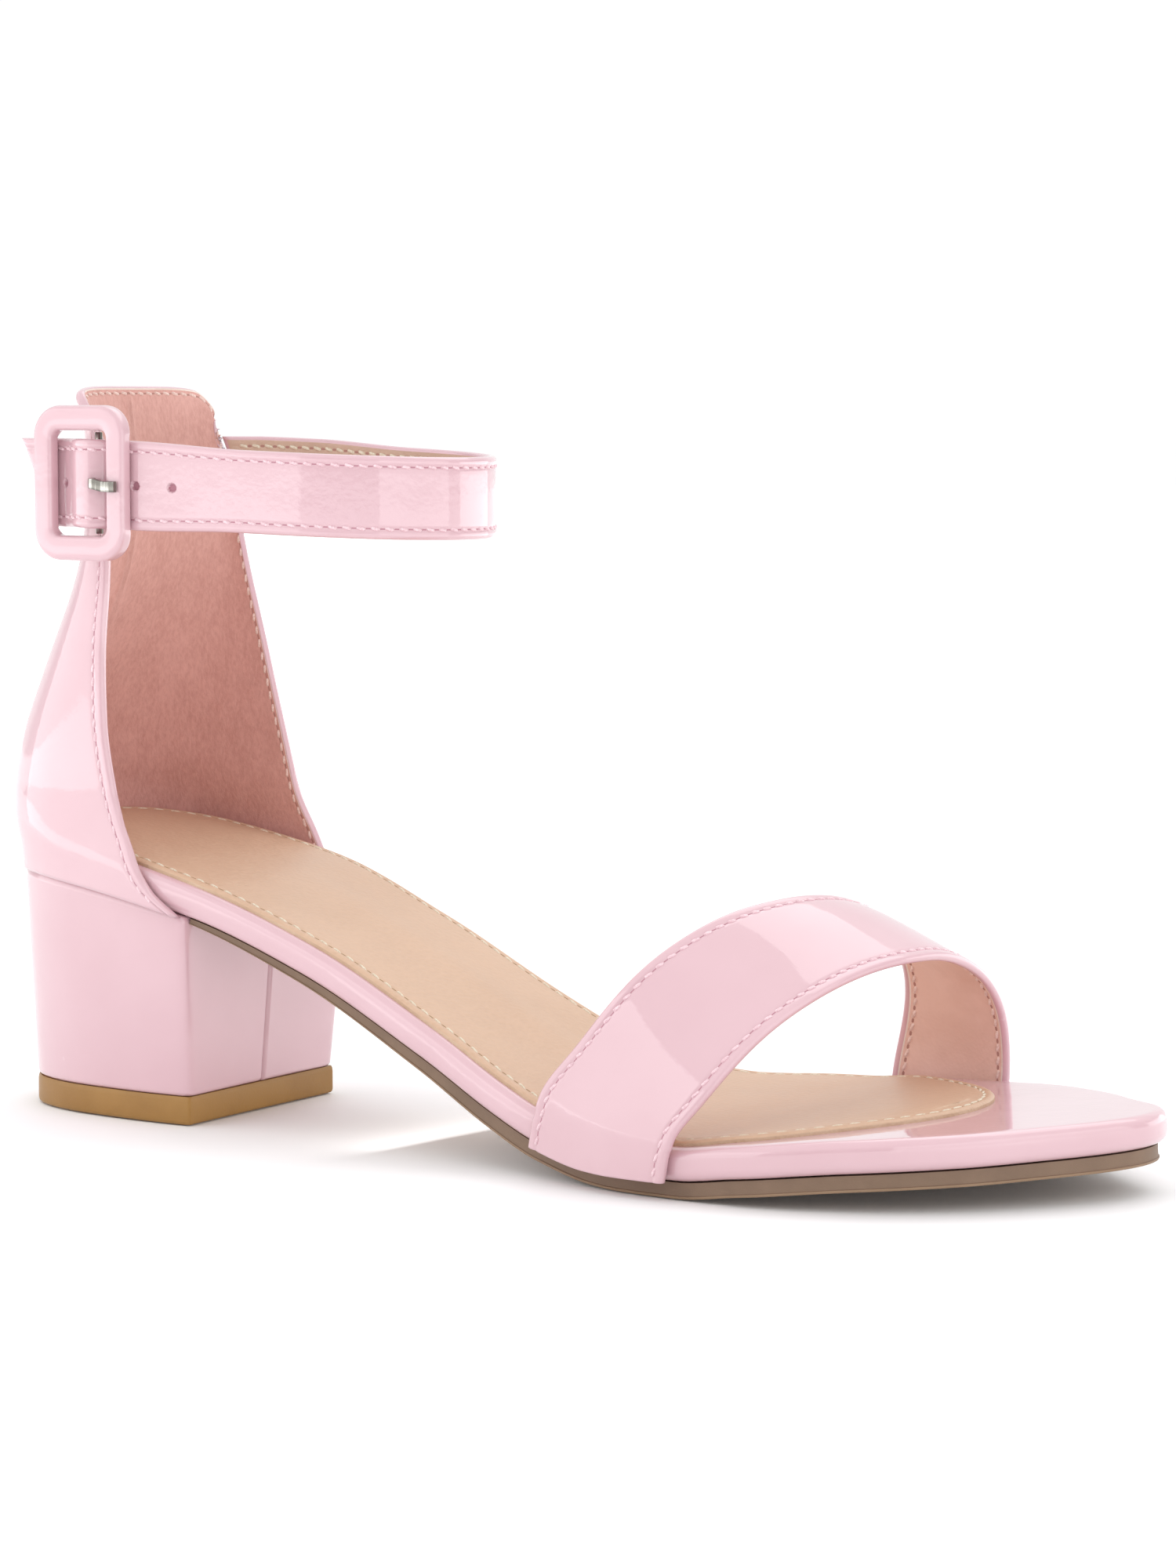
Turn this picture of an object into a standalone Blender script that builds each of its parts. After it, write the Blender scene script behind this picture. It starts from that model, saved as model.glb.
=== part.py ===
"""Block heel sandal with an ankle strap, right foot.

Metres. +X runs to the toe, +Y to the medial side and +Z up. The origin is the
middle of the heel tip's underside, on the floor. Lengths along the shoe are
measured from the back of the footbed.
"""

import math
from collections import namedtuple

import bmesh
import bpy
from mathutils import Vector

# Main form
LENGTH = 0.2415
BALL_HALF_WIDTH = 0.0420
HEEL_RISE = 0.0453
TOE_SPRING = 0.0058
CLEARANCE = 0.0003

# Sole
OUTSOLE_THICKNESS = 0.0030
OUTSOLE_THIN_END = 0.0011
OUTSOLE_INSET = 0.0016
OUTSOLE_EDGE = 0.0004
OUTSOLE_FULL_FROM = 0.57
FOOTBED_THICKNESS = 0.0060
FOOTBED_HEEL_EXTRA = 0.0030
FOOTBED_BALL_EXTRA = 0.0024
FOOTBED_RIM = 0.0020
SEAT_END = 0.25
BALL_SHARE = 0.665
BALL_SPREAD = 0.19
INSOLE_THICKNESS = 0.0013
INSOLE_INSET = 0.0022
INSOLE_LENGTH = 0.2100
INSOLE_TAPER_FROM = 0.60
INSOLE_BLUNTNESS = 3.2

# Heel
BREAST_ALONG = 0.0520
BREAST_RAKE = 0.0031
HEEL_PROUD = 0.0018
HEEL_BACK_TAPER = 0.0003
HEEL_FLUSH = 0.85
TIP_LATERAL = 0.0245
TIP_MEDIAL = 0.0270
TIP_THICKNESS = 0.0056
TIP_EDGE = 0.0004

# Counter
COUNTER_WALL = 0.0020
COUNTER_HEIGHT = 0.0957
COUNTER_DOME = 0.0042
COUNTER_CORNER_DROP = 0.0050
COUNTER_CORNER_FROM = 0.62
COUNTER_DEPTH = 0.0520
COUNTER_HALF_WIDTH = 0.0280
COUNTER_BACK_ROUND = 0.66
COUNTER_SIDE_ROUND = 0.34
COUNTER_SWELL = 0.16
COUNTER_SIDE_FROM = 0.06

# Front strap
BAND_WALL = 0.0018
BAND_REAR_HEIGHT = 0.0395
BAND_FRONT_HEIGHT = 0.0275
BAND_CROWN = 0.0008
BAND_CROWN_FROM = 0.2

# Ankle strap
STRAP_WIDTH = 0.0172
STRAP_FRONT_WIDTH = 0.0158
STRAP_THICKNESS = 0.0017
STRAP_FRONT = 0.1015
STRAP_HALF_WIDTH = 0.0285
STRAP_ABOVE_HEEL = 0.0804
STRAP_HEIGHT = HEEL_RISE + STRAP_ABOVE_HEEL
STRAP_DROP = 0.0028
STRAP_TAIL_CUT = 0.0083
STRAP_EDGE = 0.0004
STRAP_FADE_STEPS = 4
HOLE_RADIUS = 0.0014
HOLE_PITCH = 0.0078
HOLE_PLACES = (-1.1, 0.0, 1.0, 2.0)

# Buckle
BUCKLE_ALONG = 0.0330
BUCKLE_LENGTH = 0.0220
BUCKLE_HEIGHT = 0.0300
BUCKLE_RAIL = 0.0044
BUCKLE_BEAM = 0.0049
BUCKLE_THICKNESS = 0.0042
BUCKLE_RELIEF = 0.0010
BUCKLE_CORNER = 0.0048
BUCKLE_SQUARENESS = 0.75
BAR_OFFSET = 0.0020
BAR_RADIUS = 0.00075
BAR_SIDE = 0.0320
PRONG_THICKNESS = 0.0010
PRONG_WIDTH = 0.0018
PRONG_EDGE = 0.00025
TAB_WALL = 0.0007
TAB_HEIGHT = 0.0140
TAB_LAP = 0.0055
TAB_LAP_FROM = 0.0010
TAB_SLOT = 0.0034
TAB_SLOT_BACK = 0.0027
TAB_NECK = 1.35
TAB_OPEN = 32.0

# Fineness
SOLE_STATIONS = 40
COUNTER_COLUMNS = 38
COUNTER_ROWS = 26
BAND_COLUMNS = 36
BAND_ROWS = 8
STRAP_STEP = 0.0031

Row = namedtuple("Row", "along rise spring")
# Underside of the footbed from the side: shares of length, heel rise and toe spring.
PROFILE = (
    Row(0.000, 1.000, 0.0),
    Row(0.050, 0.985, 0.0),
    Row(0.120, 0.945, 0.0),
    Row(0.215, 0.850, 0.0),
    Row(0.323, 0.650, 0.0),
    Row(0.446, 0.351, 0.0),
    Row(0.520, 0.162, 0.0),
    Row(0.570, 0.064, 0.0),
    Row(0.625, 0.006, 0.0),
    Row(0.650, 0.000, 0.0),
    Row(0.700, 0.000, 0.0),
    Row(0.754, 0.000, 0.26),
    Row(0.836, 0.000, 0.62),
    Row(0.908, 0.000, 0.80),
    Row(0.958, 0.000, 0.92),
    Row(1.000, 0.000, 1.0),
)

PlanRow = namedtuple("PlanRow", "along lateral medial")
# Edges of the footbed from above: shares of length and of the half width at the ball.
PLAN = (
    PlanRow(0.000, 0.000, 0.000),
    PlanRow(0.037, -0.480, 0.480),
    PlanRow(0.098, -0.620, 0.620),
    PlanRow(0.200, -0.680, 0.650),
    PlanRow(0.323, -0.668, 0.540),
    PlanRow(0.446, -0.730, 0.475),
    PlanRow(0.570, -0.865, 0.600),
    PlanRow(0.672, -0.980, 0.830),
    PlanRow(0.754, -1.000, 0.985),
    PlanRow(0.836, -0.890, 0.973),
    PlanRow(0.908, -0.640, 0.800),
    PlanRow(0.958, -0.325, 0.566),
    PlanRow(0.990, -0.040, 0.400),
    PlanRow(1.000, 0.190, 0.190),
)

WallRow = namedtuple("WallRow", "up back lateral_front lateral_side medial_front medial_side")
# Counter from its foot to its top edge: shares of its height, depth and half width.
COUNTER = (
    WallRow(0.00, -0.030, 1.000, 1.000, 0.970, 0.970),
    WallRow(0.015, -0.055, 0.930, 1.010, 0.920, 0.970),
    WallRow(0.03, -0.075, 0.875, 1.010, 0.890, 0.970),
    WallRow(0.06, -0.095, 0.820, 1.010, 0.860, 0.970),
    WallRow(0.11, -0.108, 0.765, 1.010, 0.820, 0.975),
    WallRow(0.16, -0.106, 0.705, 1.005, 0.780, 0.975),
    WallRow(0.22, -0.086, 0.660, 1.000, 0.750, 0.975),
    WallRow(0.36, 0.037, 0.615, 0.990, 0.685, 0.960),
    WallRow(0.50, 0.178, 0.605, 0.970, 0.625, 0.940),
    WallRow(0.65, 0.320, 0.615, 0.940, 0.560, 0.910),
    WallRow(0.80, 0.360, 0.610, 0.910, 0.505, 0.880),
    WallRow(0.90, 0.345, 0.585, 0.890, 0.460, 0.860),
    WallRow(0.96, 0.330, 0.550, 0.875, 0.415, 0.845),
    WallRow(1.00, 0.318, 0.490, 0.850, 0.350, 0.820),
)

ArchRow = namedtuple("ArchRow", "turn side rear_up front_up rear front")
# Front strap from the lateral foot over the toes to the medial foot. Side is a share of
# the foot's distance from the middle. Ups are shares of the arch's heights, or below zero
# of the footbed's thickness. Rear and front edges are shares of length.
BAND = (
    ArchRow(0.00, -1.00, -1.00, -1.00, 0.568, 0.700),
    ArchRow(0.09, -1.00, 0.00, 0.00, 0.574, 0.706),
    ArchRow(0.22, -0.92, 0.41, 0.33, 0.612, 0.730),
    ArchRow(0.35, -0.68, 0.82, 0.74, 0.660, 0.765),
    ArchRow(0.48, -0.25, 1.02, 0.97, 0.702, 0.792),
    ArchRow(0.54, -0.02, 1.03, 1.01, 0.715, 0.802),
    ArchRow(0.60, 0.20, 1.00, 1.01, 0.725, 0.810),
    ArchRow(0.72, 0.62, 0.79, 0.84, 0.732, 0.814),
    ArchRow(0.84, 0.93, 0.42, 0.43, 0.722, 0.810),
    ArchRow(0.93, 1.00, 0.00, 0.00, 0.706, 0.806),
    ArchRow(1.00, 1.00, -1.00, -1.00, 0.700, 0.804),
)

PathRow = namedtuple("PathRow", "reach side")
# Ankle strap's free loop seen from above: shares of the way from the medial wing to the
# strap's front, and of its half width.
LOOP = (
    PathRow(0.22, 0.970),
    PathRow(0.46, 0.980),
    PathRow(0.70, 0.860),
    PathRow(0.88, 0.600),
    PathRow(0.98, 0.220),
    PathRow(0.99, -0.200),
    PathRow(0.92, -0.580),
    PathRow(0.78, -0.840),
    PathRow(0.60, -0.980),
    PathRow(0.44, -1.040),
)

WeaveRow = namedtuple("WeaveRow", "reach lift")
# Strap through the buckle: shares of the buckle's half length ahead of its bar, and of
# the lift over the bar.
WEAVE = (
    WeaveRow(0.95, 0.00),
    WeaveRow(0.62, 0.00),
    WeaveRow(0.40, 0.03),
    WeaveRow(0.20, 0.62),
    WeaveRow(0.00, 1.00),
    WeaveRow(-0.25, 0.80),
    WeaveRow(-0.50, 0.32),
    WeaveRow(-0.74, 0.02),
    WeaveRow(-1.00, 0.00),
    WeaveRow(-1.25, -0.05),
    WeaveRow(-1.76, -0.20),
)


def clear_scene():
    for obj in list(bpy.data.objects):
        bpy.data.objects.remove(obj, do_unlink=True)


def make_material(name, colour, roughness, metallic=0.0, coat=0.0):
    material = bpy.data.materials.new(name)
    material.use_nodes = True
    shader = material.node_tree.nodes["Principled BSDF"]
    shader.inputs["Base Color"].default_value = (*colour, 1.0)
    shader.inputs["Roughness"].default_value = roughness
    shader.inputs["Metallic"].default_value = metallic
    shader.inputs["Coat Weight"].default_value = coat
    return material


def interpolate(table, column, at, key="along"):
    """Monotone cubic through a column: no overshoot, and level where two rows agree."""
    keys = [getattr(row, key) for row in table]
    values = [getattr(row, column) for row in table]
    steps = [b - a for a, b in zip(keys, keys[1:])]
    slopes = [(b - a) / step for a, b, step in zip(values, values[1:], steps)]
    tangents = [slopes[0]]
    for before, after in zip(slopes, slopes[1:]):
        tangents.append(0.0 if before * after <= 0.0 else 2.0 * before * after / (before + after))
    tangents.append(slopes[-1])
    at = min(max(at, keys[0]), keys[-1])
    index = max(i for i in range(len(steps)) if keys[i] <= at)
    step = steps[index]
    t = (at - keys[index]) / step
    start, end = values[index], values[index + 1]
    rise = t * t * (3.0 - 2.0 * t)
    leave = t * (1.0 - t) ** 2 * step * tangents[index]
    arrive = t * t * (t - 1.0) * step * tangents[index + 1]
    return start + (end - start) * rise + leave + arrive


def even(count, start=0.0, end=1.0):
    return [start + (end - start) * i / (count - 1) for i in range(count)]


def crowded(count, ends):
    """Shares from 0 to 1, crowded towards both ends."""
    return [(1.0 - ends) * t + ends * (0.5 - 0.5 * math.cos(math.pi * t)) for t in even(count)]


def smooth(share):
    share = min(max(share, 0.0), 1.0)
    return share * share * (3.0 - 2.0 * share)


def turn_of(share):
    """Turn along a half circle whose foot lies at this share, so that round ends stay smooth."""
    return math.acos(1.0 - 2.0 * min(max(share, 0.0), 1.0)) / math.pi


PLAN_BY_TURN = tuple(row._replace(along=turn_of(row.along)) for row in PLAN)


def edge_at(share, side):
    """Signed distance of the footbed's lateral or medial edge from the middle line."""
    return BALL_HALF_WIDTH * interpolate(PLAN_BY_TURN, side, turn_of(share))


def underside(along):
    """Height of the footbed's underside."""
    share = along / LENGTH
    rise = HEEL_RISE * interpolate(PROFILE, "rise", share)
    spring = TOE_SPRING * interpolate(PROFILE, "spring", share)
    return OUTSOLE_THICKNESS + CLEARANCE + rise + spring


def extra(along, side):
    """Footbed's extra thickness, under the heel's seat and on the medial side of the ball."""
    share = along / LENGTH
    seat = max(0.0, 1.0 - share / SEAT_END) ** 1.5
    ball = max(0.0, 1.0 - ((share - BALL_SHARE) / BALL_SPREAD) ** 2) ** 2
    tilt = min(max(0.5 + 0.5 * side / BALL_HALF_WIDTH, 0.0), 1.0)
    return FOOTBED_HEEL_EXTRA * seat + FOOTBED_BALL_EXTRA * ball * tilt


def lift(along, side, height):
    """Point at a height above the footbed's underside, square to it."""
    height += extra(along, side) * min(max(height / FOOTBED_THICKNESS, 0.0), 1.0)
    step = 0.001
    slope = (underside(along + step) - underside(along - step)) / (2.0 * step)
    size = math.hypot(1.0, slope)
    return Vector((along - slope / size * height, side, underside(along) + height / size))


def heel_back(level):
    """Along of the heel's back, from its foot at 0 to its top at 1."""
    return -HEEL_PROUD + HEEL_BACK_TAPER * (1.0 - level)


HEEL_SETBACK = (heel_back(0.0) + BREAST_ALONG - BREAST_RAKE) / 2.0
HEEL_MIDDLE = (TIP_MEDIAL - TIP_LATERAL) / 2.0


def outline(first, last, count, edge=edge_at):
    """Rungs (lateral, medial) along the footbed's plan; a closed round end is one point."""
    rungs = []
    for turn in even(count, turn_of(first), turn_of(last)):
        share = (1.0 - math.cos(math.pi * turn)) / 2.0
        along = share * LENGTH
        rungs.append(((along, edge(share, "lateral")), (along, edge(share, "medial"))))
    return rungs


def ring_of(rungs):
    """Closed loop down the lateral side and back up the medial side."""
    lateral = [rung[0] for rung in rungs]
    medial = [rung[1] for rung in rungs]
    start = 1 if math.dist(*rungs[0]) < CLEARANCE else 0
    end = -1 if math.dist(*rungs[-1]) < CLEARANCE else len(rungs)
    return lateral + medial[start:end][::-1], start, end


def offset(ring, distance):
    """Loop moved inward by a distance, or outward by a negative one."""
    moved = []
    for i, (x, y) in enumerate(ring):
        before = Vector((x - ring[i - 1][0], y - ring[i - 1][1]))
        after = Vector((ring[(i + 1) % len(ring)][0] - x, ring[(i + 1) % len(ring)][1] - y))
        inward = Vector((-before.y, before.x)).normalized() + Vector((-after.y, after.x)).normalized()
        inward *= 2.0 / max(inward.length_squared, 1.0)
        moved.append((x + inward.x * distance, y + inward.y * distance))
    return moved


def ladder_faces(count, start, end, base, rung_count):
    """Cap of a loop, rung by rung from the lateral to the medial side."""
    def lateral(i):
        return base + i

    def medial(i):
        if i == 0 and start == 1:
            return base
        if i == rung_count - 1 and end == -1:
            return base + rung_count - 1
        return base + count - 1 - (i - start)

    faces = []
    for i in range(rung_count - 1):
        corners = [lateral(i), lateral(i + 1), medial(i + 1), medial(i)]
        faces.append(tuple(dict.fromkeys(corners)))
    return faces


def solid(name, points, faces, material):
    """Closed mesh object, its faces turned outward and its place set by the heel tip."""
    mesh = bpy.data.meshes.new(name)
    mesh.from_pydata([(x - HEEL_SETBACK, y - HEEL_MIDDLE, z) for x, y, z in points], [], faces)
    work = bmesh.new()
    work.from_mesh(mesh)
    bmesh.ops.recalc_face_normals(work, faces=work.faces)
    work.to_mesh(mesh)
    work.free()
    mesh.materials.append(material)
    mesh.shade_smooth()
    mesh.set_sharp_from_angle(angle=math.radians(40.0))
    obj = bpy.data.objects.new(name, mesh)
    bpy.context.scene.collection.objects.link(obj)
    return obj


def stacked(name, rungs, rows, place, material):
    """Solid from one plan loop: rows of (inset, height) from its bottom to its top."""
    ring, start, end = ring_of(rungs)
    count = len(ring)
    points = []
    faces = []
    for inset, height in rows:
        points += [place(x, y, height) for x, y in offset(ring, inset)]
    for row in range(len(rows) - 1):
        for i in range(count):
            j = (i + 1) % count
            low, high = row * count, (row + 1) * count
            faces.append((low + i, low + j, high + j, high + i))
    faces += ladder_faces(count, start, end, 0, len(rungs))
    faces += ladder_faces(count, start, end, (len(rows) - 1) * count, len(rungs))
    return solid(name, points, faces, material)


def sheet(name, outer, inner, material):
    """Closed wall between two grids of points with the same rows and columns."""
    rows, columns = len(outer), len(outer[0])
    points = [p for row in outer for p in row] + [p for row in inner for p in row]
    back = rows * columns
    faces = []
    for i in range(rows - 1):
        for j in range(columns - 1):
            a, b = i * columns + j, i * columns + j + 1
            c, d = b + columns, a + columns
            faces.append((a, b, c, d))
            faces.append((back + a, back + d, back + c, back + b))
    rim = [j for j in range(columns)]
    rim += [i * columns + columns - 1 for i in range(1, rows)]
    rim += [(rows - 1) * columns + j for j in range(columns - 2, -1, -1)]
    rim += [i * columns for i in range(rows - 2, 0, -1)]
    for a, b in zip(rim, rim[1:] + rim[:1]):
        faces.append((a, back + a, back + b, b))
    return solid(name, points, faces, material)


def normals_of(grid):
    """Unit normals of a grid of points, from the differences to its neighbours."""
    rows, columns = len(grid), len(grid[0])
    normals = []
    for i in range(rows):
        line = []
        for j in range(columns):
            across = grid[i][min(j + 1, columns - 1)] - grid[i][max(j - 1, 0)]
            along = grid[min(i + 1, rows - 1)][j] - grid[max(i - 1, 0)][j]
            line.append(across.cross(along).normalized())
        normals.append(line)
    return normals


def thicken(grid, wall):
    """Second grid, a wall's thickness against the normals of the first."""
    normals = normals_of(grid)
    return [[p - n * wall for p, n in zip(*lines)] for lines in zip(grid, normals)]


def smooth_path(points, step):
    """Points at an even step along a smooth curve through the given ones."""
    fine = []
    padded = [points[0] * 2 - points[1]] + points + [points[-1] * 2 - points[-2]]
    for a, b, c, d in zip(padded, padded[1:], padded[2:], padded[3:]):
        for t in even(17)[:-1]:
            fine.append(
                0.5 * (2 * b + (c - a) * t + (2 * a - 5 * b + 4 * c - d) * t * t
                       + (3 * b - a - 3 * c + d) * t ** 3)
            )
    fine.append(points[-1])
    lengths = [0.0]
    for a, b in zip(fine, fine[1:]):
        lengths.append(lengths[-1] + (b - a).length)
    count = max(2, round(lengths[-1] / step) + 1)
    even_points = []
    index = 0
    for target in even(count, 0.0, lengths[-1]):
        while index < len(fine) - 2 and lengths[index + 1] < target:
            index += 1
        share = (target - lengths[index]) / (lengths[index + 1] - lengths[index])
        even_points.append(fine[index].lerp(fine[index + 1], share))
    return even_points


def ribbon(name, path, widths, thickness, edge, material, shift=None):
    """Upright strip along a path seen from above, with its long edges chamfered."""
    deep = thickness / 2.0
    points = []
    for i, centre in enumerate(path):
        half = widths[i] / 2.0
        section = (
            (deep, half - edge), (deep - edge, half), (edge - deep, half), (-deep, half - edge),
            (-deep, edge - half), (edge - deep, -half), (deep - edge, -half), (deep, edge - half),
        )
        ahead = path[min(i + 1, len(path) - 1)] - path[max(i - 1, 0)]
        out = Vector((ahead.y, -ahead.x, 0.0)).normalized()
        for depth, up in section:
            point = centre + out * depth + Vector((0.0, 0.0, up))
            points.append(point + shift(i, up) if shift else point)
    sides = len(section)
    faces = [tuple(range(sides)), tuple(range(len(points) - sides, len(points)))]
    for i in range(len(path) - 1):
        for k in range(sides):
            a, b = i * sides + k, i * sides + (k + 1) % sides
            faces.append((a, b, b + sides, a + sides))
    return solid(name, points, faces, material)


def cut(obj, cutter):
    """Exact Boolean cut; the cutter is kept as a hidden helper."""
    modifier = obj.modifiers.new(cutter.name, "BOOLEAN")
    modifier.operation = "DIFFERENCE"
    modifier.solver = "EXACT"
    modifier.object = cutter
    cutter.hide_render = True
    cutter.display_type = "WIRE"


def make_footbed(material):
    rim, thick = FOOTBED_RIM, FOOTBED_THICKNESS
    turns = even(5, 0.0, math.pi / 2)
    rows = [(rim * (1.0 - math.sin(a)), rim * (1.0 - math.cos(a))) for a in turns]
    rows += [(rim * (1.0 - math.cos(a)), thick - rim * (1.0 - math.sin(a))) for a in turns]
    return stacked("footbed", outline(0.0, 1.0, SOLE_STATIONS), rows, lift, material)


def make_insole(material):
    """Sock on the footbed, ending in a blunt point behind the toe."""
    last = INSOLE_LENGTH / LENGTH

    def narrowed(share, side):
        lateral, medial = edge_at(share, "lateral"), edge_at(share, "medial")
        middle, half = (lateral + medial) / 2.0, (medial - lateral) / 2.0
        run = max(0.0, (share - INSOLE_TAPER_FROM) / (last - INSOLE_TAPER_FROM))
        half *= math.sqrt(max(0.0, 1.0 - run ** INSOLE_BLUNTNESS))
        return middle + half if side == "medial" else middle - half

    def placed(x, y, height):
        return lift(x, y, FOOTBED_THICKNESS + CLEARANCE + height)

    rungs = outline(0.0, last, SOLE_STATIONS, narrowed)
    edge = INSOLE_THICKNESS / 3.0
    rows = [(INSOLE_INSET, 0.0), (INSOLE_INSET, INSOLE_THICKNESS - edge)]
    rows.append((INSOLE_INSET + edge, INSOLE_THICKNESS))
    return stacked("insole", rungs, rows, placed, material)


def make_outsole(material):
    """Thin at the heel's breast and full at the ball, with one flat spot on the floor."""
    rungs = outline((BREAST_ALONG + CLEARANCE) / LENGTH, 1.0, SOLE_STATIONS)
    start = rungs[0][0][0]
    edge = OUTSOLE_EDGE

    def placed(x, y, height):
        if x < start + 2.0 * OUTSOLE_INSET:
            x -= OUTSOLE_INSET
        run = (x - BREAST_ALONG) / (OUTSOLE_FULL_FROM * LENGTH - BREAST_ALONG)
        run = min(max(run, 0.0), 1.0)
        thickness = OUTSOLE_THIN_END + (OUTSOLE_THICKNESS - OUTSOLE_THIN_END) * run
        return lift(x, y, -CLEARANCE - thickness * (1.0 - height))

    rows = [(OUTSOLE_INSET + edge, 0.0), (OUTSOLE_INSET, edge / OUTSOLE_THICKNESS)]
    rows.append((OUTSOLE_INSET, 1.0))
    return stacked("outsole", rungs, rows, placed, material)


def heel_rungs(count):
    """Rungs of the heel's top from its back to its breast, proud of the footbed at the back."""
    rungs = outline(0.0, BREAST_ALONG / LENGTH, count)
    ring, _, _ = ring_of(rungs)
    grown = offset(ring, -HEEL_PROUD)
    moved = []
    for i in range(count):
        flush = HEEL_FLUSH * (rungs[i][0][0] / BREAST_ALONG) ** 2
        pair = (grown[i], grown[0] if i == 0 else grown[len(grown) - i])
        kept = [Vector(out).lerp(Vector(edge), flush) for out, edge in zip(pair, rungs[i])]
        moved.append([(point.x, point.y) for point in kept])
    lateral, medial = moved[-1]
    moved[-1] = [(BREAST_ALONG, lateral[1]), (BREAST_ALONG, medial[1])]
    return moved


def heel_point(x, y, level, height):
    """Point of the heel's side: straight lines taper it from its top to its foot."""
    down = 1.0 - level
    top_width = abs(edge_at(BREAST_ALONG / LENGTH, "lateral" if y < 0.0 else "medial")) + HEEL_PROUD
    foot_width = TIP_LATERAL if y < 0.0 else TIP_MEDIAL
    side = y * (1.0 - down * (1.0 - foot_width / top_width))
    front = BREAST_ALONG - BREAST_RAKE * down
    back = heel_back(level)
    share = (x + HEEL_PROUD) / (BREAST_ALONG + HEEL_PROUD)
    return Vector((back + (front - back) * share, side, height))


def make_heel(material):
    rungs = heel_rungs(18)

    def placed(x, y, level):
        top = underside(x) - CLEARANCE
        foot = TIP_THICKNESS + CLEARANCE
        return heel_point(x, y, level, foot + (top - foot) * level)

    rows = [(0.0, level) for level in even(9)]
    return stacked("heel_block", rungs, rows, placed, material)


def make_tip(material):
    def placed(x, y, height):
        return heel_point(x, y, 0.0, height)

    rows = [(TIP_EDGE, 0.0), (0.0, TIP_EDGE), (0.0, TIP_THICKNESS)]
    return stacked("heel_tip", heel_rungs(18), rows, placed, material)


def foot_point(turn, up):
    """Outer face of the counter's foot: the footbed's edge, out by the clearance and the wall."""
    side = "lateral" if turn < 0.5 else "medial"
    sign = -1.0 if turn < 0.5 else 1.0
    reach = COUNTER_DEPTH * interpolate(COUNTER, side + "_front", up, "up")
    place = abs(turn - 0.5) * 2.0 * turn_of(reach / LENGTH)

    def edge_point(at):
        share = (1.0 - math.cos(math.pi * at)) / 2.0
        return Vector((share * LENGTH, edge_at(share, side) * (1.0 if at >= 0.0 else -1.0)))

    step = 0.004
    tangent = (edge_point(place + step) - edge_point(place - step)).normalized()
    outward = Vector((-abs(tangent.y), sign * abs(tangent.x)))
    return edge_point(place) + outward * (CLEARANCE + COUNTER_WALL)


def wall_section(turn, up):
    """Plan of the counter at a height share: a bowl from the lateral front to the medial front."""
    side = "lateral" if turn < 0.5 else "medial"
    sign = -1.0 if turn < 0.5 else 1.0
    back = COUNTER_DEPTH * interpolate(COUNTER, "back", up, "up")
    front = COUNTER_DEPTH * interpolate(COUNTER, side + "_front", up, "up")
    wide = COUNTER_HALF_WIDTH * interpolate(COUNTER, side + "_side", up, "up")
    t = abs(turn - 0.5) * 2.0
    ends = (Vector((back, 0.0)), Vector((back, wide * COUNTER_BACK_ROUND)))
    ends += (Vector((back + (front - back) * COUNTER_SIDE_ROUND, wide)), Vector((front, wide)))
    weights = ((1 - t) ** 3, 3 * t * (1 - t) ** 2, 3 * t * t * (1 - t), t ** 3)
    point = sum((p * w for p, w in zip(ends, weights)), Vector((0.0, 0.0)))
    return Vector((point.x, point.y * sign))


def wall_point(turn, up):
    """Point of the counter's outer face; its back swells above the foot before its sides draw in."""
    edge = abs(turn - 0.5) * 2.0
    corner = max(0.0, (edge - COUNTER_CORNER_FROM) / (1.0 - COUNTER_CORNER_FROM))
    up *= 1.0 - COUNTER_CORNER_DROP / COUNTER_HEIGHT * corner ** 2
    foot = foot_point(turn, up)
    free = wall_section(turn, up)
    x = foot.x + (free.x - foot.x) * smooth(up / COUNTER_SWELL)
    y = foot.y + (free.y - foot.y) * smooth((up - COUNTER_SIDE_FROM) / COUNTER_SWELL)
    top = underside(0.0) + COUNTER_HEIGHT - COUNTER_DOME * edge ** 3
    low = underside(max(foot.x, 0.0))
    return Vector((x, y, low + (top - low) * up))


def wall_inside(turn, up):
    """Point of the counter's inner face, a wall's thickness in from the outer one."""
    step = 0.01
    point = wall_point(turn, up)
    ahead = wall_point(min(turn + step, 1.0), up) - wall_point(max(turn - step, 0.0), up)
    inward = Vector((ahead.y, -ahead.x, 0.0)).normalized()
    if turn < step:
        inward = Vector((0.0, 1.0, 0.0))
    if turn > 1.0 - step:
        inward = Vector((0.0, -1.0, 0.0))
    rise = wall_point(turn, min(up + step, 1.0)) - wall_point(turn, max(up - step, 0.0))
    lean = inward.dot(rise) / rise.z
    return point + inward * COUNTER_WALL * math.hypot(1.0, lean)


def make_counter(material):
    turns = crowded(COUNTER_COLUMNS, 0.35)
    levels = crowded(COUNTER_ROWS, 0.4)
    outer = [[wall_point(turn, level) for turn in turns] for level in levels]
    inner = [[wall_inside(turn, level) for turn in turns] for level in levels]
    return sheet("heel_counter", outer, inner, material)


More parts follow.
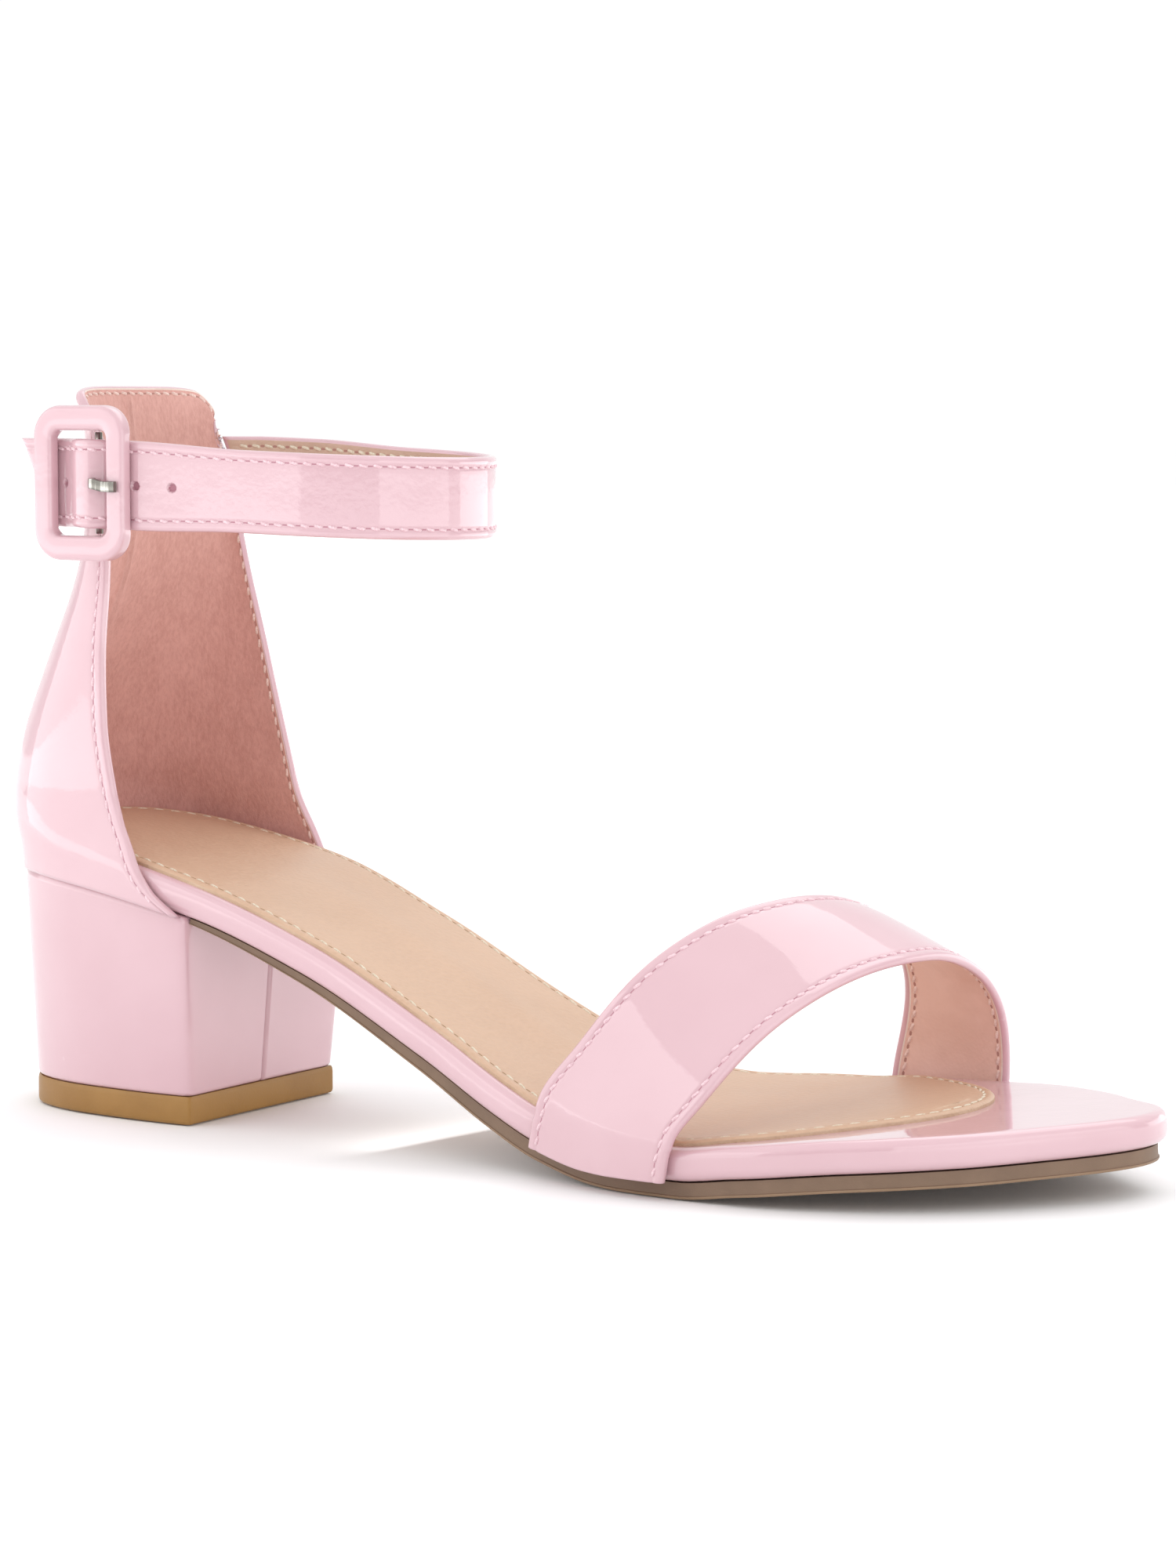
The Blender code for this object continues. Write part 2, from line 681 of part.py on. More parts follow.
def band_point(turn, across):
    """Point of the front strap's outer face, across from its rear to its front edge."""
    rear = interpolate(BAND, "rear", turn, "turn")
    front = interpolate(BAND, "front", turn, "turn")
    share = rear + (front - rear) * across
    lateral, medial = edge_at(share, "lateral"), edge_at(share, "medial")
    middle, half = (lateral + medial) / 2.0, (medial - lateral) / 2.0
    out = interpolate(BAND, "side", turn, "turn")
    side = middle + out * (half + 1.5 * CLEARANCE + BAND_WALL)
    board = FOOTBED_THICKNESS + extra(share * LENGTH, side)
    heights = []
    for end, arch in (("rear_up", BAND_REAR_HEIGHT), ("front_up", BAND_FRONT_HEIGHT)):
        up = interpolate(BAND, end, turn, "turn")
        heights.append(board + up * (arch if up > 0.0 else board))
    height = heights[0] + (heights[1] - heights[0]) * across
    crown = BAND_CROWN * max(0.0, height / BAND_REAR_HEIGHT - BAND_CROWN_FROM)
    height += crown * 4.0 * across * (1.0 - across)
    return Vector((share * LENGTH, side, underside(share * LENGTH) + height))


def make_band(material):
    grid = [[band_point(turn, across) for turn in even(BAND_COLUMNS)] for across in even(BAND_ROWS)]
    return sheet("front_strap", grid, thicken(grid, -BAND_WALL), material)


def strap_height(along):
    run = (along - BUCKLE_ALONG) / (STRAP_FRONT - BUCKLE_ALONG)
    return STRAP_HEIGHT - STRAP_DROP * min(max(run, 0.0), 1.0)


def wing_edge(turn, height):
    """Middle of the counter wall's front edge at a height."""
    low, high = 0.0, 1.0
    for _ in range(30):
        middle = (low + high) / 2.0
        if wall_point(turn, middle).z < height:
            low = middle
        else:
            high = middle
    point = wall_point(turn, low)
    point.y += COUNTER_WALL / 2.0 * (1.0 if turn < 0.5 else -1.0)
    return point


LIFT_OVER_BAR = BAR_RADIUS + 3.0 * CLEARANCE + PRONG_THICKNESS + STRAP_THICKNESS / 2.0
FRAME_OUTER = BAR_SIDE + LIFT_OVER_BAR + STRAP_THICKNESS / 2.0
FRAME_INNER = FRAME_OUTER - BUCKLE_THICKNESS
STRAP_REST = FRAME_INNER + BUCKLE_RELIEF - CLEARANCE - STRAP_THICKNESS / 2.0
BAR_ALONG = BUCKLE_ALONG + BAR_OFFSET


def strap_path():
    root = wing_edge(1.0, STRAP_HEIGHT)
    points = [Vector((root.x + 2.0 * CLEARANCE, root.y, 0.0))]
    for row in LOOP:
        along = root.x + (STRAP_FRONT - root.x) * row.reach
        points.append(Vector((along, STRAP_HALF_WIDTH * row.side, 0.0)))
    for row in WEAVE:
        along = BAR_ALONG + BUCKLE_LENGTH / 2.0 * row.reach
        rise = BAR_SIDE + LIFT_OVER_BAR - STRAP_REST
        points.append(Vector((along, -STRAP_REST - rise * row.lift, 0.0)))
    path = smooth_path(points, STRAP_STEP)
    for point in path:
        point.z = strap_height(point.x)
    return path


def make_ankle_strap(material):
    path = strap_path()
    root = path[0].copy()
    fade = STRAP_FADE_STEPS

    def shift(i, up):
        if i < fade:
            edge = wing_edge(1.0, path[0].z + up)
            share = 1.0 - i / fade
            return Vector((edge.x + 2.0 * CLEARANCE - root.x, edge.y - root.y, 0.0)) * share
        back = len(path) - 1 - i
        if back < fade:
            cut_share = 1.0 - back / fade
            return Vector((STRAP_TAIL_CUT * (0.5 - up / STRAP_WIDTH) * cut_share, 0.0, 0.0))
        return Vector((0.0, 0.0, 0.0))

    front = (STRAP_FRONT - BUCKLE_ALONG - BUCKLE_LENGTH) / 2.0
    widths = []
    for point in path:
        near = smooth((point.x - BUCKLE_ALONG - BUCKLE_LENGTH / 2.0) / front)
        widths.append(STRAP_WIDTH + (STRAP_FRONT_WIDTH - STRAP_WIDTH) * near)
    strap = ribbon("ankle_strap", path, widths, STRAP_THICKNESS, STRAP_EDGE, material, shift)
    prong_hole = BAR_ALONG + BAR_RADIUS + CLEARANCE + PRONG_THICKNESS / 2.0
    through = 12.0 * STRAP_THICKNESS
    for number, place in enumerate(HOLE_PLACES):
        along = prong_hole + HOLE_PITCH * place
        centre = (along, -BAR_SIDE, strap_height(along))
        hole = rod("strap_hole_%d" % number, centre, HOLE_RADIUS, through, "Y", 12, material)
        cut(strap, hole)
    return strap


def rod(name, centre, radius, length, axis, sides, material):
    points = []
    for end in (-0.5, 0.5):
        for k in range(sides):
            turn = 2.0 * math.pi * (k + 0.5) / sides
            a, b = radius * math.cos(turn), radius * math.sin(turn)
            local = (a, end * length, b) if axis == "Y" else (a, b, end * length)
            points.append(Vector(centre) + Vector(local))
    faces = [tuple(range(sides)), tuple(range(sides, 2 * sides))]
    faces += [(k, (k + 1) % sides, sides + (k + 1) % sides, sides + k) for k in range(sides)]
    return solid(name, points, faces, material)


def make_frame(material):
    """Rounded frame of the buckle, relieved behind its upright rails for the strap."""
    half_x = (BUCKLE_LENGTH - BUCKLE_RAIL) / 2.0
    half_z = (BUCKLE_HEIGHT - BUCKLE_BEAM) / 2.0
    corner = BUCKLE_CORNER
    loop = []
    for cx, cz, start in ((1, 1, 0.0), (-1, 1, 0.5), (-1, -1, 1.0), (1, -1, 1.5)):
        for t in even(6):
            turn = math.pi * (start + 0.5 * t)
            out = Vector((math.cos(turn), math.sin(turn)))
            loop.append((Vector((cx * (half_x - corner), cz * (half_z - corner))) + out * corner, out))
    height = strap_height(BUCKLE_ALONG)
    points = []
    sides = 12
    for place, out in loop:
        upright = min(1.0, max(0.0, (half_z - abs(place.y)) / corner))
        inner = FRAME_INNER + BUCKLE_RELIEF * upright
        middle, deep = (FRAME_OUTER + inner) / 2.0, (FRAME_OUTER - inner) / 2.0
        for k in range(sides):
            turn = 2.0 * math.pi * (k + 0.5) / sides
            c, s = math.cos(turn), math.sin(turn)
            rail = BUCKLE_BEAM + (BUCKLE_RAIL - BUCKLE_BEAM) * upright
            wide = rail / 2.0 * math.copysign(abs(c) ** BUCKLE_SQUARENESS, c)
            depth = deep * math.copysign(abs(s) ** BUCKLE_SQUARENESS, s)
            flat = place + out * wide
            points.append(Vector((BUCKLE_ALONG + flat.x, -middle - depth, height + flat.y)))
    faces = []
    for i in range(len(loop)):
        j = (i + 1) % len(loop)
        for k in range(sides):
            m = (k + 1) % sides
            faces.append((i * sides + k, j * sides + k, j * sides + m, i * sides + m))
    return solid("buckle_frame", points, faces, material)


def make_bar(material):
    height = strap_height(BUCKLE_ALONG)
    length = BUCKLE_HEIGHT - 2.0 * BUCKLE_BEAM - 2.0 * CLEARANCE
    return rod("buckle_bar", (BAR_ALONG, -BAR_SIDE, height), BAR_RADIUS, length, "Z", 12, material)


def arc_path(radius, first, last, count):
    """Points round the buckle's bar, the turn measured from the front towards the leg."""
    points = []
    for turn in even(count, math.radians(first), math.radians(last)):
        out = Vector((math.cos(turn), math.sin(turn), 0.0))
        points.append(Vector((BAR_ALONG, -BAR_SIDE, 0.0)) + out * radius)
    return points


def make_prong(material):
    radius = BAR_RADIUS + CLEARANCE + PRONG_THICKNESS / 2.0
    face = -FRAME_OUTER - CLEARANCE - PRONG_THICKNESS / 2.0
    path = arc_path(radius, 200.0, 0.0, 10)
    stand = BAR_ALONG + radius
    bend = PRONG_THICKNESS
    path.append(Vector((stand, face + bend, 0.0)))
    path.append(Vector((stand + bend * 0.3, face + bend * 0.3, 0.0)))
    path.append(Vector((stand + bend, face, 0.0)))
    path.append(Vector((BUCKLE_ALONG + BUCKLE_LENGTH / 2.0 - BUCKLE_RAIL * 0.25, face, 0.0)))
    for point in path:
        point.z = strap_height(BUCKLE_ALONG)
    widths = [PRONG_WIDTH] * len(path)
    return ribbon("buckle_prong", path, widths, PRONG_THICKNESS, PRONG_EDGE, material)


def slotted(name, path, first, last, material):
    """Upright strip along a path seen from above, open at mid height between two of its points."""
    height, deep = strap_height(BUCKLE_ALONG), TAB_WALL / 2.0
    levels = (-TAB_HEIGHT / 2.0, -TAB_SLOT / 2.0, TAB_SLOT / 2.0, TAB_HEIGHT / 2.0)
    points = []
    for i, centre in enumerate(path):
        ahead = path[min(i + 1, len(path) - 1)] - path[max(i - 1, 0)]
        out = Vector((ahead.y, -ahead.x, 0.0)).normalized()
        for depth in (deep, -deep):
            points += [centre + out * depth + Vector((0.0, 0.0, height + level)) for level in levels]
    tall = len(levels)
    step = 2 * tall
    faces = []
    for i in range(len(path) - 1):
        a, b = i * step, (i + 1) * step
        open_here = first <= i < last
        for k in range(tall - 1):
            if not (open_here and k == 1):
                faces.append((a + k, b + k, b + k + 1, a + k + 1))
                faces.append((a + tall + k, a + tall + k + 1, b + tall + k + 1, b + tall + k))
        for k in (0, 1, 2, 3) if open_here else (0, 3):
            faces.append((a + k, a + tall + k, b + tall + k, b + k))
    for i in (0, len(path) - 1):
        faces += [(i * step + k, i * step + k + 1, i * step + tall + k + 1, i * step + tall + k) for k in range(3)]
    for i in (first, last):
        faces.append((i * step + 1, i * step + 2, i * step + tall + 2, i * step + tall + 1))
    return solid(name, points, faces, material)


def make_tab(material):
    """Short tab from the lateral wing, round the bar and back, slotted for the prong."""
    loop = BAR_RADIUS + CLEARANCE / 2.0 + TAB_WALL / 2.0
    gap = TAB_WALL / 2.0 + CLEARANCE / 2.0
    anchor = wing_edge(0.0, STRAP_HEIGHT - TAB_HEIGHT / 2.0)
    seat = anchor.y - COUNTER_WALL / 2.0 - CLEARANCE - TAB_WALL - CLEARANCE / 2.0
    rear = Vector((anchor.x - TAB_LAP, seat + CLEARANCE / 2.0, 0.0))
    front = Vector((anchor.x - TAB_LAP_FROM, seat, 0.0))
    bar = Vector((BAR_ALONG, -BAR_SIDE, 0.0))
    away = (front - bar).normalized()
    neck = bar + away * loop * TAB_NECK
    centre = [rear, front, neck + away * (TAB_SLOT_BACK - loop * TAB_NECK), neck]
    legs = ([], [])
    for i, point in enumerate(centre):
        before = (point - centre[i - 1]).normalized() if i else (centre[1] - point).normalized()
        after = (centre[i + 1] - point).normalized() if i < 3 else before
        ahead = (before + after).normalized()
        square = Vector((ahead.y, -ahead.x, 0.0)) * gap / ahead.dot(after)
        legs[0].append(point + square)
        legs[1].append(point - square)
    turned = math.degrees(math.atan2(away.y, away.x))
    path = legs[0] + arc_path(loop, turned + TAB_OPEN, turned + 360.0 - TAB_OPEN, 14) + legs[1][::-1]
    return slotted("buckle_tab", path, 2, len(path) - 3, material)


def main():
    clear_scene()
    patent = make_material("patent_pink", (0.88, 0.62, 0.70), 0.12, coat=1.0)
    lining = make_material("insole_beige", (0.80, 0.63, 0.45), 0.55)
    rubber = make_material("sole_brown", (0.38, 0.27, 0.18), 0.6)
    tip = make_material("tip_ochre", (0.42, 0.25, 0.08), 0.5)
    steel = make_material("steel", (0.72, 0.71, 0.69), 0.2, metallic=1.0)
    make_footbed(patent)
    make_insole(lining)
    make_outsole(rubber)
    make_heel(patent)
    make_tip(tip)
    make_counter(patent)
    make_band(patent)
    make_ankle_strap(patent)
    make_frame(patent)
    make_bar(steel)
    make_prong(steel)
    make_tab(patent)


main()
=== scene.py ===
import math

import bmesh
import bpy
import numpy as np
from mathutils import Euler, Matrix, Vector


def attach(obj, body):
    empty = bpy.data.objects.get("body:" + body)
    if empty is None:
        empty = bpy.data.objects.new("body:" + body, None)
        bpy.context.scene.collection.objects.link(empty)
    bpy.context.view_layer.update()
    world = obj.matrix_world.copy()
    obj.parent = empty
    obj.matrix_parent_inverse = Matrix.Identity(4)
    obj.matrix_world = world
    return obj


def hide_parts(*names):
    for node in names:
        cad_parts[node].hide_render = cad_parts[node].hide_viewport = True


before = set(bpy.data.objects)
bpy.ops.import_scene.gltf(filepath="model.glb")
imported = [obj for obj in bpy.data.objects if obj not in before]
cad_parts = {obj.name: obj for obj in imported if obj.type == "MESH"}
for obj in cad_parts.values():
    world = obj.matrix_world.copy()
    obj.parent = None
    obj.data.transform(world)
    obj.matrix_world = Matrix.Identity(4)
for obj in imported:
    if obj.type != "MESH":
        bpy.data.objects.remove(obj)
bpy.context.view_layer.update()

print("frame loaded")

# The shoe's own sizes, in metres. Lengths along it are measured from the footbed's back.
shoe = {
    "length": 0.2415, "ballHalfWidth": 0.0420, "heelRise": 0.0453, "toeSpring": 0.0058,
    "outsole": 0.0030, "gap": 0.0003, "thick": 0.0060, "heelExtra": 0.0030,
    "ballExtra": 0.0024, "seatEnd": 0.25, "ballShare": 0.665, "ballSpread": 0.19,
}


# Table of named columns, one row to a tuple.
def table(names, *rows):
    return dict(zip(names.split(), np.array(rows, float).T))


profile = table(
    "along rise spring",
    (0.000, 1.000, 0.0), (0.050, 0.985, 0.0), (0.120, 0.945, 0.0), (0.215, 0.850, 0.0),
    (0.323, 0.650, 0.0), (0.446, 0.351, 0.0), (0.520, 0.162, 0.0), (0.570, 0.064, 0.0),
    (0.625, 0.006, 0.0), (0.650, 0.000, 0.0), (0.700, 0.000, 0.0), (0.754, 0.000, 0.26),
    (0.836, 0.000, 0.62), (0.908, 0.000, 0.80), (0.958, 0.000, 0.92), (1.000, 0.000, 1.0),
)
plan = table(
    "along lateral medial",
    (0.000, 0.000, 0.000), (0.037, -0.480, 0.480), (0.098, -0.620, 0.620),
    (0.200, -0.680, 0.650), (0.323, -0.668, 0.540), (0.446, -0.730, 0.475),
    (0.570, -0.865, 0.600), (0.672, -0.980, 0.830), (0.754, -1.000, 0.985),
    (0.836, -0.890, 0.973), (0.908, -0.640, 0.800), (0.958, -0.325, 0.566),
    (0.990, -0.040, 0.400), (1.000, 0.190, 0.190),
)


# Cubic through a column that never overshoots its rows: the slope at a row is the harmonic mean of
# the slopes on its two sides, or none where they turn.
def curve(keys, values, at):
    at = np.clip(at, keys[0], keys[-1])
    steps = np.diff(keys)
    slopes = np.diff(values) / steps
    product = slopes[:-1] * slopes[1:]
    total = np.where(product > 0.0, slopes[:-1] + slopes[1:], 1.0)
    inner = np.where(product > 0.0, 2.0 * product / total, 0.0)
    tangents = np.concatenate([slopes[:1], inner, slopes[-1:]])
    i = np.clip(np.searchsorted(keys, at, side="right") - 1, 0, len(steps) - 1)
    step = steps[i]
    t = (at - keys[i]) / step
    rise = t * t * (3.0 - 2.0 * t)
    bend = t * (1.0 - t) ** 2 * step * tangents[i] + t * t * (t - 1.0) * step * tangents[i + 1]
    return values[i] + (values[i + 1] - values[i]) * rise + bend


# A table's column at given places along its key.
def column(rows, name, at, key="along"):
    return curve(rows[key], rows[name], at)


# Soft step: three shares squared less two shares cubed, held between 0 and 1.
def smooth(share):
    share = np.clip(share, 0.0, 1.0)
    return share * share * (3.0 - 2.0 * share)


# Soft bump: e to the minus square of the distance over its width.
def bell(away, width):
    return np.exp(-(away / width) ** 2)


# Vectors over their own lengths.
def unit(vectors, least=0.0):
    return vectors / np.maximum(np.linalg.norm(vectors, axis=-1, keepdims=True), least)


# Turn along a half circle whose foot lies at this share, so that round ends stay smooth.
def turnOf(share):
    return np.arccos(1.0 - 2.0 * np.clip(share, 0.0, 1.0)) / np.pi


plan["turn"] = turnOf(plan["along"])


# The outline's y on one side: the ball's half width times the plan's column.
def edgeAt(share, side):
    return shoe["ballHalfWidth"] * column(plan, side, turnOf(share), "turn")


# Height of the footbed's underside: the sole, then heel rise and toe spring by their shares.
def underside(along):
    share = along / shoe["length"]
    rise = shoe["heelRise"] * column(profile, "rise", share)
    return shoe["outsole"] + shoe["gap"] + rise + shoe["toeSpring"] * column(profile, "spring", share)


# Footbed's extra thickness, under the heel's seat and on the medial side of the ball: each one
# falls off as a power of what is left of its reach.
def extra(along, side):
    share = along / shoe["length"]
    seat = np.maximum(0.0, 1.0 - share / shoe["seatEnd"]) ** 1.5
    ball = np.maximum(0.0, 1.0 - ((share - shoe["ballShare"]) / shoe["ballSpread"]) ** 2) ** 2
    tilt = np.clip(0.5 + 0.5 * side / shoe["ballHalfWidth"], 0.0, 1.0)
    return shoe["heelExtra"] * seat + shoe["ballExtra"] * ball * tilt


# Point at a height above the footbed's underside, square to its slope.
def lift(along, side, height):
    height = height + extra(along, side) * np.clip(height / shoe["thick"], 0.0, 1.0)
    slope = (underside(along + 0.001) - underside(along - 0.001)) / 0.002
    size = np.hypot(1.0, slope)
    return np.stack([along - slope / size * height, side + 0.0 * height, underside(along) + height / size], -1)


heel = {
    "breast": 0.0520, "rake": 0.0031, "proud": 0.0018, "backTaper": 0.0003, "flush": 0.85,
    "tipLateral": 0.0245, "tipMedial": 0.0270, "tip": 0.0056, "cornerRound": 0.0015, "tipRound": 0.00035,
    "slit": 0.0011, "slitDepth": 0.0008, "slitHalf": 0.00035, "lap": 0.00022,
    "footTuck": 0.00045, "footTuckTo": 0.022, "topTuck": 0.0006, "topTuckFrom": 0.965,
}
# The middle of the heel tip's underside is the part's origin.
setback = (-heel["proud"] + heel["backTaper"] + heel["breast"] - heel["rake"]) / 2.0
middle = (heel["tipMedial"] - heel["tipLateral"]) / 2.0


# Object of a mesh, riding on the shoe, in the place of the CAD nodes named.
def linked(name, mesh, materials, slotName, nodes):
    for material in materials:
        mesh.materials.append(material)
    obj = bpy.data.objects.new(name, mesh)
    bpy.context.scene.collection.objects.link(obj)
    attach(obj, "root")
    if nodes:
        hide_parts(*nodes)
    print(name, len(mesh.polygons))
    return obj


# Mesh of points and quads, moved to the part's origin; which gives each quad's material.
def meshOf(name, points, quads, which=None, weld=True, sharp=35.0):
    points = np.asarray(points, float).reshape(-1, 3) - np.array([setback, middle, 0.0])
    quads = np.asarray(quads, int).reshape(-1, 4)
    mesh = bpy.data.meshes.new(name)
    mesh.vertices.add(len(points))
    mesh.vertices.foreach_set("co", points.ravel())
    mesh.loops.add(quads.size)
    mesh.loops.foreach_set("vertex_index", quads.ravel())
    mesh.polygons.add(len(quads))
    mesh.polygons.foreach_set("loop_start", np.arange(0, quads.size, 4))
    if which is not None:
        mesh.polygons.foreach_set("material_index", np.asarray(which, int))
    mesh.update(calc_edges=True)
    mesh.validate()
    if weld:
        work = bmesh.new()
        work.from_mesh(mesh)
        bmesh.ops.remove_doubles(work, verts=work.verts, dist=2e-6)
        bmesh.ops.recalc_face_normals(work, faces=work.faces)
        work.to_mesh(mesh)
        work.free()
    mesh.shade_smooth()
    if sharp:
        mesh.set_sharp_from_angle(angle=math.radians(sharp))
    return mesh


# Quads of a grid of points, wrapped round its columns when it is closed.
def gridQuads(rows, columns, base=0, wrap=False, flip=False):
    j = np.arange(columns if wrap else columns - 1)
    i = np.arange(rows - 1)[:, None]
    k = (j + 1) % columns
    quads = np.stack([i * columns + j, i * columns + k, (i + 1) * columns + k, (i + 1) * columns + j], -1)
    quads = quads.reshape(-1, 4) + base
    return quads[:, ::-1] if flip else quads


# Quads between two skins along a line of points, each point a step after the last.
def bridge(line, step, skin):
    return np.stack([line, line + skin, line + step + skin, line + step], -1)


# Unit normals of a grid of points: the cross product of its two differences.
def normalsOf(grid):
    return unit(np.cross(np.gradient(grid, axis=1), np.gradient(grid, axis=0)), 1e-12)


# Running length along a line: the sum of its steps so far.
def lengthsOf(points):
    steps = np.linalg.norm(np.diff(points, axis=0), axis=-1)
    return np.concatenate([[0.0], np.cumsum(steps)])


# Columns of a line's values at given lengths, straight between its points.
def readAt(at, lengths, values):
    return np.stack([np.interp(at, lengths, values[:, k]) for k in range(values.shape[1])], -1)


# Line's points without those that repeat the one before.
def distinct(points, least):
    return points[np.concatenate([[True], np.linalg.norm(np.diff(points, axis=0), axis=-1) > least])]


# Points at an even spacing along a line, by their count or by their step.
def evenly(points, count=None, step=None):
    lengths = lengthsOf(points)
    count = count or max(2, int(round(lengths[-1] / step)) + 1)
    return readAt(np.linspace(0.0, lengths[-1], count), lengths, points)


# Common to the upper's pieces: what a wall is thinner by than in the CAD, so that its seams stay
# inside, and the run over which the lining steps down beside its folded edge.
hide = {"thinner": 0.0001, "stepRun": 0.0002}


# Two skins half a wall either side of a middle sheet; the wall runs out round its free edges
# as a half ellipse does. edge is each point's distance from a free edge.
def skins(middleGrid, wall, edge, roundness, outerRise, innerRise):
    normals = normalsOf(middleGrid)
    near = np.clip(1.0 - edge / roundness, 0.0, 1.0)
    half = (wall - hide["thinner"]) / 2.0 * np.sqrt(1.0 - near ** 2)
    outer = middleGrid + normals * (half + outerRise)[..., None]
    inner = middleGrid - normals * (half + innerRise)[..., None]
    return outer, inner, normals


# Swell of the hide between an edge and its seam: half a sine.
def puffed(edge, seamIn):
    return np.sin(np.pi * np.clip(edge / seamIn, 0.0, 1.0))


# Step down of the lining beside its folded edge: a soft step of the distance from the edge.
def steppedDown(edge, piece):
    return piece["step"] * smooth((edge - piece["fold"]) / hide["stepRun"])


# Material of each lining quad by its distance from the edge: the fold, then a raw edge, then lining.
def liningKinds(edge, piece):
    centre = (edge[:-1, :-1] + edge[1:, 1:]) / 2.0
    return np.where(centre < piece["fold"], 1, np.where(centre < piece["fold"] + piece["rawWidth"], 3, 2)).ravel()


# Row or column of a piece that stands nearest to a distance.
def nearest(distances, wanted):
    return int(np.argmin(np.abs(distances - wanted)))


# A shader value that takes plain arithmetic.
class Term:
    def __init__(self, tree, socket):
        self.tree = tree
        self.socket = socket

    def math(self, operation, other):
        node = self.tree.nodes.new("ShaderNodeMath")
        node.operation = operation
        self.tree.links.new(self.socket, node.inputs[0])
        if isinstance(other, Term):
            self.tree.links.new(other.socket, node.inputs[1])
        else:
            node.inputs[1].default_value = other
        return Term(self.tree, node.outputs[0])

    def __add__(self, other):
        return self.math("ADD", other)

    def __mul__(self, other):
        return self.math("MULTIPLY", other)

    # Soft step from 0 at the low value to 1 at the high one.
    def ramp(self, low, high):
        node = self.tree.nodes.new("ShaderNodeMapRange")
        node.interpolation_type = "SMOOTHSTEP"
        self.tree.links.new(self.socket, node.inputs["Value"])
        node.inputs["From Min"].default_value = low
        node.inputs["From Max"].default_value = high
        return Term(self.tree, node.outputs["Result"])


# Blend of two colours, each a tuple or a socket, by a term.
def blend(tree, share, first, second):
    node = tree.nodes.new("ShaderNodeMix")
    node.data_type = "RGBA"
    tree.links.new(share.socket, node.inputs["Factor"])
    for name, value in (("A", first), ("B", second)):
        socket = [i for i in node.inputs if i.name == name and i.type == "RGBA"][0]
        if isinstance(value, tuple):
            socket.default_value = (*value, 1.0)
        else:
            tree.links.new(value, socket)
    return [o for o in node.outputs if o.type == "RGBA"][0]


# Cloudy noise; stretch scales the place first, so that a small share draws the pattern out.
def noise(tree, place, scale, detail=2.0, roughness=0.5, stretch=None):
    if stretch:
        mapping = tree.nodes.new("ShaderNodeMapping")
        mapping.inputs["Scale"].default_value = stretch
        tree.links.new(place, mapping.inputs["Vector"])
        place = mapping.outputs["Vector"]
    node = tree.nodes.new("ShaderNodeTexNoise")
    node.inputs["Scale"].default_value = scale
    node.inputs["Detail"].default_value = detail
    node.inputs["Roughness"].default_value = roughness
    tree.links.new(place, node.inputs["Vector"])
    return Term(tree, node.outputs[0])


# Distance to the nearest of scattered points: pores and pebbles.
def cells(tree, place, scale):
    node = tree.nodes.new("ShaderNodeTexVoronoi")
    node.inputs["Scale"].default_value = scale
    tree.links.new(place, node.inputs["Vector"])
    return Term(tree, node.outputs["Distance"])


# Principled material, its tree and its shader, with the plain values set.
def begin(name, **values):
    material = bpy.data.materials.new(name)
    material.use_nodes = True
    tree = material.node_tree
    shader = tree.nodes["Principled BSDF"]
    for key, value in values.items():
        shader.inputs[key.replace("_", " ")].default_value = value
    return material, tree, shader


# Colour and bumps of a shader: each bump is (height, distance, strength) and lies on the last.
def dress(tree, shader, colour, *bumps):
    tree.links.new(colour, shader.inputs["Base Color"])
    normal = None
    for height, distance, strength in bumps:
        node = tree.nodes.new("ShaderNodeBump")
        node.inputs["Distance"].default_value = distance
        node.inputs["Strength"].default_value = strength
        tree.links.new(height.socket, node.inputs["Height"])
        if normal:
            tree.links.new(normal, node.inputs["Normal"])
        normal = node.outputs["Normal"]
    tree.links.new(normal, shader.inputs["Normal"])
    return normal


# Place on a piece, in metres from the part's origin.
def objectPlace(tree):
    return tree.nodes.new("ShaderNodeTexCoord").outputs["Object"]


patentLook = {
    "colour": (0.668, 0.432, 0.476), "deep": (0.644, 0.408, 0.451), "dust": (0.72, 0.52, 0.56),
    "dustShare": 0.5, "waveScale": 55.0, "waviness": 0.00010, "peelScale": 900.0, "peel": 0.000012,
    "dustScale": 420.0,
}


# Patent: a pink base under a clear coat whose face waves a little, with a few specks of dust.
def makePatent(name, look):
    material, tree, shader = begin(
        name, Roughness=0.38, Coat_Weight=1.0, Coat_Roughness=0.035, Coat_IOR=1.72, Specular_IOR_Level=0.35)
    place = objectPlace(tree)
    broad = noise(tree, place, look["waveScale"])
    fine = noise(tree, place, look["peelScale"])
    specks = noise(tree, place, look["dustScale"], 1.0).ramp(0.795, 0.83)
    body = blend(tree, broad.ramp(0.25, 0.75), look["colour"], look["deep"])
    colour = blend(tree, specks * look["dustShare"], body, look["dust"])
    peeled = dress(tree, shader, colour, (broad, look["waviness"], 1.0), (fine, look["peel"], 1.0))
    tree.links.new(peeled, shader.inputs["Coat Normal"])
    return material


patent = makePatent("patent", patentLook)
patentFold = makePatent("patentFold", {**patentLook, "colour": (0.665, 0.405, 0.460), "waviness": 0.00006})

suedeLook = {
    "light": (0.72, 0.41, 0.365), "dark": (0.57, 0.30, 0.258), "nap": 0.00022,
    "strokeScale": 42.0, "mottleScale": 260.0, "fibreScale": 1500.0,
}


